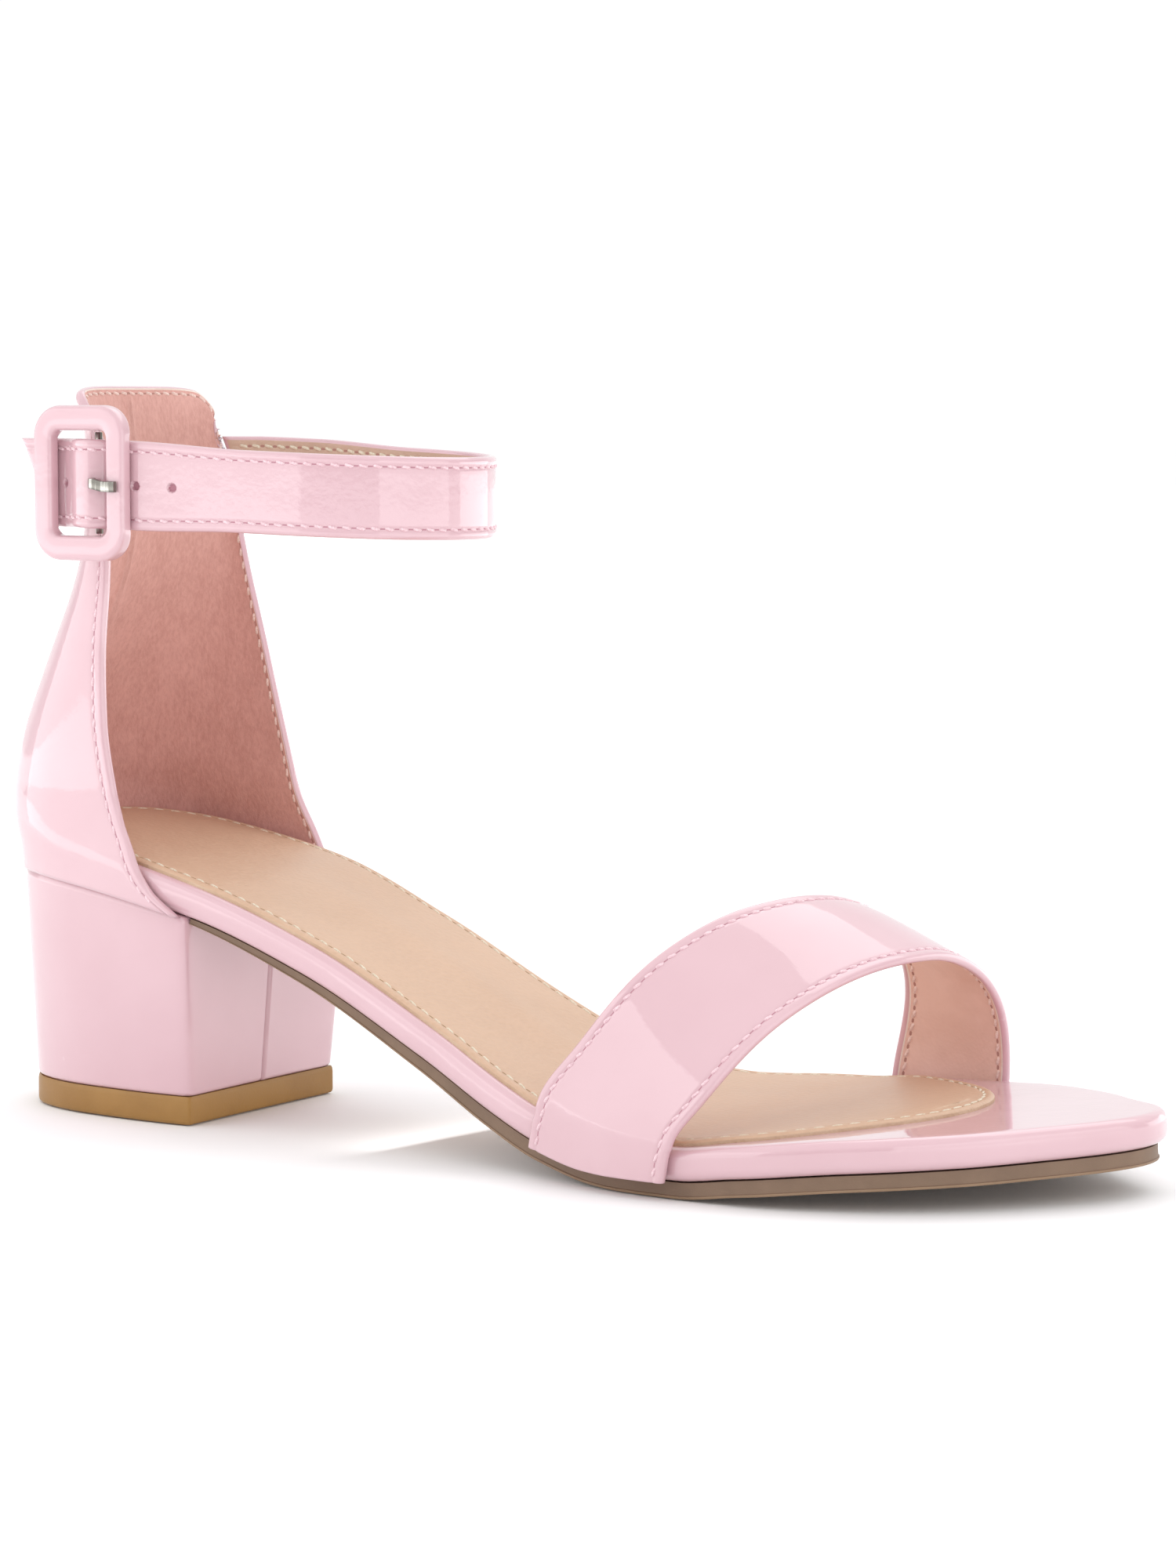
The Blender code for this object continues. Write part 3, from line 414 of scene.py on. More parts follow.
# Suede lining: fibres brushed downwards, lighter and darker where the nap has been stroked.
def makeSuede(name, look):
    material, tree, shader = begin(
        name, Roughness=0.92, Sheen_Weight=0.35, Sheen_Roughness=0.45, Specular_IOR_Level=0.15)
    shader.inputs["Sheen Tint"].default_value = (1.0, 0.86, 0.82, 1.0)
    place = objectPlace(tree)
    stroked = noise(tree, place, look["strokeScale"], 3.0, 0.55, (1.0, 1.0, 0.55))
    mottled = noise(tree, place, look["mottleScale"], 4.0, 0.65, (1.0, 1.0, 0.5))
    fibres = noise(tree, place, look["fibreScale"], 3.0, 0.7, (1.0, 1.0, 0.45))
    share = (stroked * 0.4 + mottled * 0.3 + fibres * 0.5).ramp(0.40, 0.80)
    dress(tree, shader, blend(tree, share, look["dark"], look["light"]),
          (mottled, look["nap"], 0.7), (fibres, look["nap"] * 0.6, 0.8))
    return material


suede = makeSuede("suede", suedeLook)


# Smooth lining or cut edge: a fine pored hide with a dull shine.
def makeLining(name, light, dark, grain, roughness):
    material, tree, shader = begin(name, Roughness=roughness, Specular_IOR_Level=0.4)
    place = objectPlace(tree)
    broad = noise(tree, place, 70.0, 4.0, 0.6)
    pores = cells(tree, place, 1500.0)
    grainy = noise(tree, place, 1300.0, 3.0, 0.6)
    colour = blend(tree, broad.ramp(0.3, 0.7), dark, light)
    dress(tree, shader, colour, (pores, grain, 0.7), (grainy, grain * 0.8, 0.7))
    return material


lining = makeLining("lining", (0.82, 0.57, 0.49), (0.74, 0.49, 0.41), 0.00005, 0.5)
strapLining = makeLining("strapLining", (0.62, 0.45, 0.35), (0.55, 0.39, 0.30), 0.00006, 0.6)
rawEdge = makeLining("rawEdge", (0.84, 0.74, 0.68), (0.76, 0.64, 0.57), 0.00012, 0.8)
insoleEdge = makeLining("insoleEdge", (0.62, 0.45, 0.32), (0.50, 0.33, 0.22), 0.00015, 0.7)

insoleLook = {
    "light": (0.625, 0.420, 0.290), "dark": (0.56, 0.362, 0.240), "pebble": 0.00011,
    "cloudScale": 30.0, "pebbleScale": 950.0, "wrinkleScale": 420.0, "rubScale": 90.0,
}


# Insole leather: pebbled grain that fades where it is smooth, a satin shine and faint rubs.
def makeInsoleLeather(name, look):
    material, tree, shader = begin(name, Specular_IOR_Level=0.45, Coat_Weight=0.22, Coat_Roughness=0.36)
    place = objectPlace(tree)
    broad = noise(tree, place, look["cloudScale"], 4.0, 0.6)
    pebbles = cells(tree, place, look["pebbleScale"])
    wrinkles = noise(tree, place, look["wrinkleScale"], 4.0, 0.62)
    rubs = noise(tree, place, look["rubScale"], 5.0, 0.7)
    share = (broad * 0.6 + pebbles * 0.25 + rubs * 0.3).ramp(0.3, 0.8)
    tree.links.new((rubs * 0.22 + pebbles * 0.12 + 0.33).socket, shader.inputs["Roughness"])
    dress(tree, shader, blend(tree, share, look["dark"], look["light"]),
          (pebbles, look["pebble"], 0.8), (wrinkles, look["pebble"] * 1.2, 0.6))
    return material


insoleLeather = makeInsoleLeather("insoleLeather", insoleLook)


# Sole rubber: a dull skin with a fine moulded grain, and scuffs that lighten it.
def makeRubber(name, light, dark, roughness=0.55, scuff=0.4):
    material, tree, shader = begin(name, Specular_IOR_Level=0.4)
    place = objectPlace(tree)
    broad = noise(tree, place, 60.0, 4.0, 0.6)
    grain = noise(tree, place, 1800.0, 2.0, 0.6)
    scratches = noise(tree, place, 300.0, 5.0, 0.75, (0.4, 0.4, 2.2)).ramp(0.6, 0.78)
    base = blend(tree, broad.ramp(0.3, 0.7), dark, light)
    pale = tuple(min(1.0, c * 1.35) for c in light)
    tree.links.new((broad * 0.15 + (roughness - 0.07)).socket, shader.inputs["Roughness"])
    dress(tree, shader, blend(tree, scratches * scuff, base, pale), (grain, 0.00005, 0.6))
    return material


soleRubber = makeRubber("soleRubber", (0.230, 0.150, 0.100), (0.185, 0.118, 0.077))
soleEdgeRubber = makeRubber("soleEdgeRubber", (0.30, 0.195, 0.120), (0.25, 0.160, 0.097), 0.5)
tipRubber = makeRubber("tipRubber", (0.345, 0.180, 0.046), (0.29, 0.145, 0.034), 0.42, 0.3)


# Thread: two tones by the twist of its yarn, which also lifts it.
def makeThread(name, colour, dark):
    material, tree, shader = begin(name, Roughness=0.5, Sheen_Weight=0.2, Specular_IOR_Level=0.4)
    twist = noise(tree, objectPlace(tree), 2600.0)
    dress(tree, shader, blend(tree, twist.ramp(0.3, 0.7), dark, colour), (twist, 0.00006, 0.7))
    return material


# Painted shade: the flat dark colour of a needle hole or a punched hole, standing in for the shade inside it.
def makeHoleShade(name, colour, roughness):
    material, tree, shader = begin(name, Roughness=roughness, Metallic=0.0)
    shader.inputs["Base Color"].default_value = (*colour, 1.0)
    return material


pinkThread = makeThread("pinkThread", (0.88, 0.66, 0.70), (0.74, 0.49, 0.54))
liningThread = makeThread("liningThread", (0.86, 0.66, 0.60), (0.70, 0.48, 0.42))
creamThread = makeThread("creamThread", (0.80, 0.73, 0.60), (0.66, 0.56, 0.42))
pinkHoleShade = makeHoleShade("pinkHoleShade", (0.46, 0.215, 0.265), 0.7)
liningHoleShade = makeHoleShade("liningHoleShade", (0.42, 0.22, 0.185), 0.9)
insoleHoleShade = makeHoleShade("insoleHoleShade", (0.36, 0.23, 0.13), 0.9)

# The steel's dark and light colours are painted reflections, streaked along Z.
steelLook = {"dark": (0.20, 0.19, 0.17), "light": (0.52, 0.51, 0.47), "brushScale": 1200.0, "reflectionStreakScale": 700.0}


# Polished steel, its face brushed faintly along Z, its colour streaked dark and light along Z as painted
# reflections.
def makeSteel(name, look):
    material, tree, shader = begin(name, Metallic=1.0, Roughness=0.16)
    place = objectPlace(tree)
    brushed = noise(tree, place, look["brushScale"], 3.0, 0.6, (1.0, 1.0, 0.08))
    # Painted reflections: dark and light streaks along Z in the steel's colour.
    paintedReflectionStreaks = noise(tree, place, look["reflectionStreakScale"], 2.0, 0.5, (1.0, 1.0, 0.12)).ramp(0.42, 0.58)
    tree.links.new((brushed * 0.14 + 0.09).socket, shader.inputs["Roughness"])
    dress(tree, shader, blend(tree, paintedReflectionStreaks, look["dark"], look["light"]), (brushed, 0.00002, 0.5))
    return material


steel = makeSteel("steelPaintedReflections", steelLook)
print("materials made")

seamStyle = {
    "pitch": 0.0027, "length": 0.0021, "radius": 0.00036, "hole": 0.00030, "sunk": 0.00008, "slant": 0.00024,
    "rings": 7, "sides": 6, "proudShare": 0.35, "dipShare": 0.9, "holeOverlap": 0.6, "holeLift": 0.00004,
}


# Row of stitches on a path: each is a capsule, whose thickness is the root of one less its run to the
# fourth and whose ends dip as that power does, between flat dark discs a hair above the hide, painted shade for
# the needle holes.
def seam(name, path, normals, thread, hole, slotName, **style):
    style = {**seamStyle, **style}
    rings, sides, radius = style["rings"], style["sides"], style["radius"]
    lengths = lengthsOf(path)
    whole = lengths[-1]
    count = max(1, int(whole // style["pitch"]))
    starts = (np.arange(count) + 0.5) * whole / count

    def onPath(at):
        at = np.clip(at, 0.0, whole)
        flat = at.ravel()
        place, up = readAt(flat, lengths, path), unit(readAt(flat, lengths, normals))
        return place.reshape(*at.shape, 3), up.reshape(*at.shape, 3)

    run = np.linspace(-1.0, 1.0, rings)
    place, up = onPath(starts[:, None] + run * style["length"] / 2.0)
    ahead = unit(np.gradient(place, axis=1), 1e-9)
    side = np.cross(ahead, up)
    thin = np.sqrt(np.clip(1.0 - run ** 4, 0.0, 1.0)) * radius
    rise = radius * style["proudShare"] - style["sunk"] - radius * style["dipShare"] * run ** 4
    centre = place + style["slant"] * run[:, None] * side + up * rise[:, None]
    turns = (np.arange(sides) * 2.0 * np.pi / sides)[:, None]
    section = np.cos(turns) * side[:, :, None, :] + np.sin(turns) * up[:, :, None, :]
    points = centre[:, :, None, :] + np.maximum(thin, 1e-5)[:, None, None] * section
    starting = (np.arange(count) * rings * sides)[:, None, None]
    quads = (gridQuads(rings, sides, 0, True) + starting).reshape(-1, 4)

    # Hole discs: flat dark sheets that paint the shade of the needle holes.
    holeAt = starts[:-1] + whole / count / 2.0 if count > 1 else starts
    holeAt = np.clip(holeAt, 0.0, whole)
    place, up = onPath(holeAt)
    ahead = unit(onPath(holeAt + 1e-4)[0] - onPath(holeAt - 1e-4)[0], 1e-9)
    side = np.cross(ahead, up)
    turns = (np.arange(8) * np.pi / 4.0)[:, None]
    reach = (style["pitch"] - style["length"]) / 2.0 + style["hole"] * style["holeOverlap"]
    rim = (place + up * style["holeLift"])[:, None, :] + ahead[:, None, :] * reach * np.cos(turns)
    rim = rim + side[:, None, :] * style["hole"] * np.sin(turns)
    disc = np.array([[0, 1, 2, 3], [0, 3, 4, 7], [4, 5, 6, 7]])
    starting = (np.arange(len(holeAt)) * 8)[:, None, None] + points.size // 3
    holeQuads = (disc + starting).reshape(-1, 4)
    which = np.repeat([0, 1], [len(quads), len(holeQuads)])
    mesh = meshOf(name, np.concatenate([points.reshape(-1, 3), rim.reshape(-1, 3)]),
                  np.concatenate([quads, holeQuads]), which, weld=False, sharp=None)
    return linked(name, mesh, (thread, hole), slotName, ())


# Points of the plan's lateral and medial edge between two shares of the length, even in turn.
def planRing(first, last, count, edge=edgeAt):
    share = (1.0 - np.cos(np.pi * np.linspace(turnOf(first), turnOf(last), count))) / 2.0
    along = share * shoe["length"]
    return np.stack([along, edge(share, "lateral")], -1), np.stack([along, edge(share, "medial")], -1)


# Both edges moved inward: each point goes along the normal halfway between its two steps, further
# where the loop turns.
def insetRungs(lateral, medial, distance):
    loop = np.concatenate([lateral, medial[::-1]])
    same = np.concatenate([[True], np.linalg.norm(np.diff(loop, axis=0), axis=-1) > 1e-7])
    if np.linalg.norm(loop[0] - loop[-1]) < 1e-7:
        same[-1] = False
    ring = loop[same]
    before = unit(ring - np.roll(ring, 1, axis=0))
    after = unit(np.roll(ring, -1, axis=0) - ring)
    inward = np.stack([-(before + after)[:, 1], (before + after)[:, 0]], -1)
    inward *= 2.0 / np.maximum((inward ** 2).sum(-1, keepdims=True), 1.0)
    moved = ring + inward * distance
    spread = moved[np.cumsum(same) - 1]
    if not same[-1]:
        spread[-1] = moved[0]
    half = len(lateral)
    return spread[:half], spread[half:][::-1]


# Solid whose side rows are (inset, height) from its bottom up. Each cap runs straight from the
# lateral edge to the medial one, and capRise may lift the top one by x and the share across.
def planSolid(lateral, medial, rows, place, across, capRise=None):
    rungs = [insetRungs(lateral, medial, inset) for inset, _ in rows]
    points = []
    for (left, right), (_, height) in zip(rungs, rows):
        loop = np.concatenate([left, right[::-1]])
        points.append(place(loop[:, 0], loop[:, 1], np.full(len(loop), height)))
    count = len(points[0])
    quads = [gridQuads(len(rows), count, 0, True)]
    base = len(rows) * count
    shares = np.linspace(0.0, 1.0, across)[None, :, None]
    for index in (0, -1):
        left, right = rungs[index]
        flat = left[:, None, :] * (1.0 - shares) + right[:, None, :] * shares
        height = np.full(flat.shape[:2], rows[index][1])
        if capRise and index == -1:
            height = height + capRise(flat[..., 0], shares[..., 0])
        points.append(place(flat[..., 0], flat[..., 1], height).reshape(-1, 3))
        quads.append(gridQuads(len(left), across, base))
        base += flat.shape[0] * flat.shape[1]
    return np.concatenate(points), np.concatenate(quads)


footbedShape = {"rim": 0.0020, "rimSteps": 9, "stations": 260, "across": 24}


# Footbed: a covered board whose rim is a quarter round below and another above.
def makeFootbed():
    rim, thick = footbedShape["rim"], shoe["thick"]
    turns = np.linspace(0.0, np.pi / 2.0, footbedShape["rimSteps"])
    rows = [(rim * (1.0 - math.sin(a)), rim * (1.0 - math.cos(a))) for a in turns]
    rows += [(rim * (1.0 - math.cos(a)), thick - rim * (1.0 - math.sin(a))) for a in turns]
    lateral, medial = planRing(0.0, 1.0, footbedShape["stations"])
    points, quads = planSolid(lateral, medial, rows, lift, footbedShape["across"])
    mesh = meshOf("footbedCover", points, quads, sharp=None)
    return linked("footbedCover", mesh, (patent,), "patent_pink", ("footbed",))


# edgeRows go up the sock's edge as (further in, height).
insoleShape = {
    "thick": 0.0008, "inset": 0.0018, "length": 0.2100, "taper": 0.60, "blunt": 3.2, "stations": 260, "across": 28,
    "edgeRows": ((0.0, -0.0004), (0.0, 0.0001), (0.00005, 0.00028), (0.0002, 0.00045), (0.0004, 0.0006),
                 (0.0007, 0.00072), (0.0010, 0.0008)),
    "seamIn": 0.0019, "seamRows": (-0.0006, -0.0003, 0.0, 0.0003, 0.0006, 0.0010, 0.0016), "seamWidth": 0.00055,
    "groove": 0.00022, "crown": 0.0004, "ridge": 0.0006, "ridgeAt": 0.55, "ridgeWidth": 0.13,
}
insoleStitch = {"pitch": 0.0034, "length": 0.0026, "radius": 0.00027}


# The sock's edge is the footbed's until the taper, then closes in as one less a power of its run does.
def insoleEdgeAt(share, side):
    lateral, medial = edgeAt(share, "lateral"), edgeAt(share, "medial")
    last = insoleShape["length"] / shoe["length"]
    run = np.clip((share - insoleShape["taper"]) / (last - insoleShape["taper"]), 0.0, 1.0)
    half = (medial - lateral) / 2.0 * np.sqrt(np.maximum(0.0, 1.0 - run ** insoleShape["blunt"]))
    return (lateral + medial) / 2.0 + (half if side == "medial" else -half)


# Point at a height over the footbed's top.
def insolePlace(x, y, height):
    return lift(x, y, shoe["thick"] + shoe["gap"] + height)


# The sock is crowned as a parabola is, and a soft ridge runs down its middle through the shank.
def insoleCrown(x, share):
    along = x / shoe["length"]
    shank = smooth((along - 0.16) / 0.2) * smooth((0.66 - along) / 0.15)
    ridge = insoleShape["ridge"] * bell(share - insoleShape["ridgeAt"], insoleShape["ridgeWidth"]) * shank
    return insoleShape["crown"] * (1.0 - (2.0 * share - 1.0) ** 2) + ridge


# Sock: edge rows, then a groove where its seam pulls it down, then the crowned middle.
def makeInsole():
    thick, inset, groove = insoleShape["thick"], insoleShape["inset"], insoleShape["groove"]
    lateral, medial = planRing(0.0, insoleShape["length"] / shoe["length"], insoleShape["stations"], insoleEdgeAt)
    seamAt = inset + insoleShape["seamIn"]
    rows = [(inset + within, height) for within, height in insoleShape["edgeRows"]]
    rows += [(seamAt + d, thick - groove * bell(d, insoleShape["seamWidth"])) for d in insoleShape["seamRows"]]
    points, quads = planSolid(lateral, medial, rows, insolePlace, insoleShape["across"], insoleCrown)
    which = np.zeros(len(quads), int)
    which[:2 * 2 * len(lateral)] = 1  # the cut edge is the two lowest rows
    mesh = meshOf("insoleSock", points, quads, which, sharp=50.0)
    sock = linked("insoleSock", mesh, (insoleLeather, insoleEdge), "insole_beige", ("insole",))
    left, right = insetRungs(lateral, medial, seamAt)
    path = evenly(distinct(np.concatenate([left, right[::-1], left[:1]]), 1e-6), step=0.0008)
    level = np.full(len(path), thick - groove)
    at = insolePlace(path[:, 0], path[:, 1], level)
    above = insolePlace(path[:, 0], path[:, 1], level + 0.001)
    seam("insoleSeam", at, above - at, creamThread, insoleHoleShade, "insole_beige", **insoleStitch)
    return sock


# edgeRows go up the edge as (further in, share of the thickness), with a thin lip at the bottom.
outsoleShape = {
    "thinEnd": 0.0011, "inset": 0.0016, "fullFrom": 0.57, "stations": 240, "across": 20, "lipRows": 3,
    "edgeRows": ((0.0004, 0.0), (0.00012, 0.03), (0.0, 0.10), (0.0, 0.17), (0.0002, 0.22), (0.00025, 0.6),
                 (0.0002, 1.0)),
}


# Outsole: its thickness grows evenly from the heel's breast to the share where it is full.
def makeOutsole():
    lateral, medial = planRing((heel["breast"] + shoe["gap"]) / shoe["length"], 1.0, outsoleShape["stations"])
    start = lateral[0, 0]
    inset = outsoleShape["inset"]

    def place(x, y, height):
        x = np.maximum(x - inset * (1.0 - smooth((x - start - inset) / (2.0 * inset))), start)
        full = outsoleShape["fullFrom"] * shoe["length"]
        run = np.clip((x - heel["breast"]) / (full - heel["breast"]), 0.0, 1.0)
        thickness = outsoleShape["thinEnd"] + (shoe["outsole"] - outsoleShape["thinEnd"]) * run
        return lift(x, y, -shoe["gap"] - thickness * (1.0 - height))

    rows = [(inset + within, height) for within, height in outsoleShape["edgeRows"]]
    points, quads = planSolid(lateral, medial, rows, place, outsoleShape["across"])
    which = np.zeros(len(quads), int)
    which[:outsoleShape["lipRows"] * 2 * len(lateral)] = 1
    mesh = meshOf("outsoleRubber", points, quads, which, sharp=40.0)
    return linked("outsoleRubber", mesh, (soleRubber, soleEdgeRubber), "sole_brown", ("outsole",))


makeFootbed()
makeInsole()
makeOutsole()
print("sole made")


# Heel's plan at its top: proud at the back, flush with the footbed at the breast.
def heelRungs(count):
    lateral, medial = planRing(0.0, heel["breast"] / shoe["length"], count)
    left, right = insetRungs(lateral, medial, -heel["proud"])
    flush = (heel["flush"] * (lateral[:, 0] / heel["breast"]) ** 2)[:, None]
    left = left + (lateral - left) * flush
    right = right + (medial - right) * flush
    left[-1, 0] = right[-1, 0] = heel["breast"]
    return left, right


# Plan point taken down the heel: sides, breast and back each move evenly to their place at the foot.
def heelPoint(x, y, level, height):
    down = 1.0 - level
    share = heel["breast"] / shoe["length"]
    top = np.where(y < 0.0, -edgeAt(share, "lateral"), edgeAt(share, "medial")) + heel["proud"]
    foot = np.where(y < 0.0, heel["tipLateral"], heel["tipMedial"])
    side = y * (1.0 - down * (1.0 - foot / top))
    front = heel["breast"] - heel["rake"] * down
    back = -heel["proud"] + heel["backTaper"] * down
    share = (x + heel["proud"]) / (heel["breast"] + heel["proud"])
    return np.stack([back + (front - back) * share, side, height + 0.0 * side], -1)


# Closed ring, even along its length, its corners rounded by a running mean with bell weights.
def heelRing(rounding, count=640):
    left, right = heelRungs(160)
    breast = np.linspace(0.0, 1.0, 60)[1:-1, None]
    across = left[-1] * (1.0 - breast) + right[-1] * breast
    loop = distinct(np.concatenate([left, across, right[::-1]]), 1e-7)
    loop = evenly(np.concatenate([loop, loop[:1]]), count + 1)[:-1]
    step = lengthsOf(np.concatenate([loop, loop[:1]]))[-1] / count
    reach = max(1, int(round(3.0 * rounding / step)))
    offsets = np.arange(-reach, reach + 1)
    weights = np.exp(-0.5 * (offsets * step / rounding) ** 2)
    weights /= weights.sum()
    return sum(np.roll(loop, -k, axis=0) * w for k, w in zip(offsets, weights))


# Ring of the heel moved in towards its own middle.
def tucked(ring, distance):
    ring[:, :2] -= unit(ring[:, :2] - ring[:, :2].mean(0)) * distance
    return ring


# Closed solid of rings: its sides, then ten rings that shrink to the middle over each end.
def ringSolid(name, grid, sharp):
    rows, count = grid.shape[:2]
    shares = np.linspace(1.0, 0.0, 10)[:, None, None]
    points = [grid] + [ring.mean(0) + (ring - ring.mean(0)) * shares for ring in (grid[0], grid[-1])]
    points = np.concatenate(points).reshape(-1, 3)
    quads = [gridQuads(rows, count, 0, True)]
    quads += [gridQuads(len(shares), count, base * count, True) for base in (rows, rows + len(shares))]
    return meshOf(name, points, np.concatenate(quads), sharp=sharp)


# Heel: the plan's ring at many levels; the cover tucks in at its foot and its top, and its two ends
# meet in a slit down the breast, one a little over the other.
def makeHeel():
    ring = heelRing(heel["cornerRound"])
    levels = np.concatenate([np.linspace(0.0, 0.03, 5), np.linspace(0.05, 0.93, 30), np.linspace(0.95, 1.0, 6)])
    foot = heel["tip"] + shoe["gap"] * 0.5
    top = underside(np.maximum(ring[:, 0], 0.0)) - shoe["gap"] * 0.4
    onBreast = smooth((ring[:, 0] - heel["breast"] + 0.002) / 0.001)
    away = (ring[:, 1] - heel["slit"]) / heel["slitHalf"]
    slit = heel["slitDepth"] * bell(away, 1.0)
    lap = heel["lap"] * smooth(away / 1.4 + 0.2) * np.exp(-np.maximum(away, 0.0) / 9.0)
    rows = []
    for level in levels:
        tuck = heel["footTuck"] * max(0.0, 1.0 - level / heel["footTuckTo"]) ** 2
        tuck += heel["topTuck"] * max(0.0, (level - heel["topTuckFrom"]) / (1.0 - heel["topTuckFrom"])) ** 2
        flat = tucked(heelPoint(ring[:, 0], ring[:, 1], level, foot + (top - foot) * level), tuck)
        flat[:, 0] += onBreast * (lap - slit)
        rows.append(flat)
    mesh = ringSolid("heelCover", np.stack(rows), 60.0)
    return linked("heelCover", mesh, (patent,), "patent_pink", ("heel_block",))


# (inset, height) of the tip's rings, from the ground up.
tipRows = ((0.0009, 0.0), (0.0004, 0.00012), (0.0001, 0.0004), (0.0, 0.0008), (0.0, 0.0046), (0.0001, 0.0052),
           (0.0003, heel["tip"]))


# Tip: the heel's plan at its foot, as rings of those rows.
def makeTip():
    ring = heelRing(heel["tipRound"])
    grid = np.stack([tucked(heelPoint(ring[:, 0], ring[:, 1], 0.0, height), inset) for inset, height in tipRows])
    return linked("heelTop", ringSolid("heelTop", grid, 40.0), (tipRubber,), "tip_ochre", ("heel_tip",))


makeHeel()
makeTip()
print("heel made")

counter = {
    "wall": 0.0020, "height": 0.0957, "dome": 0.0042, "soften": 0.07, "cornerDrop": 0.0050, "cornerFrom": 0.62,
    "depth": 0.0520, "halfWidth": 0.0280, "backRound": 0.66, "sideRound": 0.34, "swell": 0.16, "sideFrom": 0.06,
    "seamIn": 0.0027, "liningSeamIn": 0.0016, "seamWidth": 0.0004, "groove": 0.00022, "pad": 0.00012,
    "fold": 0.0006, "rawWidth": 0.0004, "step": 0.00015, "round": 0.00095, "corner": 0.004,
    "ridge": 0.0005, "ridgeWidth": 0.0013, "cleft": 0.0006, "cleftWidth": 0.00035, "innerGroove": 0.7,
    "footRows": 28, "footTo": 0.2, "wallRows": 70, "across": 110, "seamBend": 0.0065,
}
counterRows = table(
    "up back lateralFront lateralSide medialFront medialSide",
    (0.00, -0.030, 1.000, 1.000, 0.970, 0.970), (0.015, -0.055, 0.930, 1.010, 0.920, 0.970),
    (0.03, -0.075, 0.875, 1.010, 0.890, 0.970), (0.06, -0.095, 0.820, 1.010, 0.860, 0.970),
    (0.11, -0.108, 0.765, 1.010, 0.820, 0.975), (0.16, -0.106, 0.705, 1.005, 0.780, 0.975),
    (0.22, -0.086, 0.660, 1.000, 0.750, 0.975), (0.36, 0.037, 0.615, 0.990, 0.685, 0.960),
    (0.50, 0.178, 0.605, 0.970, 0.625, 0.940), (0.65, 0.320, 0.615, 0.940, 0.560, 0.910),
    (0.80, 0.360, 0.610, 0.910, 0.505, 0.880), (0.90, 0.345, 0.585, 0.890, 0.460, 0.860),
    (0.96, 0.330, 0.550, 0.875, 0.415, 0.845), (1.00, 0.318, 0.490, 0.850, 0.350, 0.820),
)
# Distances from a free edge, written in millimetres, at which the counter's rows and columns stand.
counterNear = np.array([0.0, 0.04, 0.14, 0.3, 0.55, 0.85, 1.2, 1.6, 2.0, 2.3, 2.55, 2.7, 2.85, 3.1, 3.5, 4.2,
                        5.2, 6.5]) / 1000.0


# Mean of a column over a stretch of height that shrinks to nothing at both ends, so that its rows
# leave no kinks.
def softColumn(name, up):
    stretch = np.clip(np.minimum(up, 1.0 - up), 0.0, counter["soften"])
    return sum(column(counterRows, name, up + stretch * away, "up") for away in (-1.0, -0.5, 0.0, 0.5, 1.0)) / 5.0


# Point of the counter's outer face. Its foot follows the footbed's edge. Above the swell it is on a
# cubic from the back's middle to the front edge, with its four weights in t.
def wallPoint(turn, up):
    turn, up = np.broadcast_arrays(np.asarray(turn, float), np.asarray(up, float))
    onLateral = turn < 0.5
    sign = np.where(onLateral, -1.0, 1.0)
    t = np.abs(turn - 0.5) * 2.0
    trim = np.clip((t - counter["cornerFrom"]) / (1.0 - counter["cornerFrom"]), 0.0, 1.0) ** 2
    up = up * (1.0 - counter["cornerDrop"] / counter["height"] * trim)
    fronts = [column(counterRows, side + "Front", up, "up") for side in ("lateral", "medial")]
    sides = [softColumn(side + "Side", up) for side in ("lateral", "medial")]
    reach = counter["depth"] * np.where(onLateral, *fronts)
    place = t * turnOf(reach / shoe["length"])

    def edgePoint(at):
        share = (1.0 - np.cos(np.pi * at)) / 2.0
        side = np.where(onLateral, edgeAt(share, "lateral"), edgeAt(share, "medial"))
        return np.stack([share * shoe["length"], side * np.where(at >= 0.0, 1.0, -1.0)], -1)

    tangent = unit(edgePoint(place + 0.004) - edgePoint(place - 0.004))
    outward = np.stack([-np.abs(tangent[..., 1]), sign * np.abs(tangent[..., 0])], -1)
    foot = edgePoint(place) + outward * (shoe["gap"] + counter["wall"])
    back = counter["depth"] * softColumn("back", up)
    wide = counter["halfWidth"] * np.where(onLateral, *sides)
    weights = ((1 - t) ** 3, 3 * t * (1 - t) ** 2, 3 * t * t * (1 - t), t ** 3)
    bow = back + (reach - back) * counter["sideRound"]
    freeX = back * (weights[0] + weights[1]) + bow * weights[2] + reach * weights[3]
    freeY = sign * wide * (counter["backRound"] * weights[1] + weights[2] + weights[3])
    x = foot[..., 0] + (freeX - foot[..., 0]) * smooth(up / counter["swell"])
    y = foot[..., 1] + (freeY - foot[..., 1]) * smooth((up - counter["sideFrom"]) / counter["swell"])
    top = underside(0.0) + counter["height"] - counter["dome"] * t ** 3
    low = underside(np.maximum(foot[..., 0], 0.0))
    return np.stack([x, y, low + (top - low) * up], -1)


# Turns that lie at set distances from both front edges, row by row of the height.
def turnsAt(levels, near, between):
    fine = np.linspace(0.0, 1.0, 401)
    rows = []
    for up in levels:
        lengths = lengthsOf(wallPoint(fine, up))
        total = lengths[-1]
        inner = np.linspace(near[-1], total - near[-1], between)[1:-1]
        rows.append(np.interp(np.concatenate([near, inner, total - near[::-1]]), lengths, fine))
    return np.stack(rows)


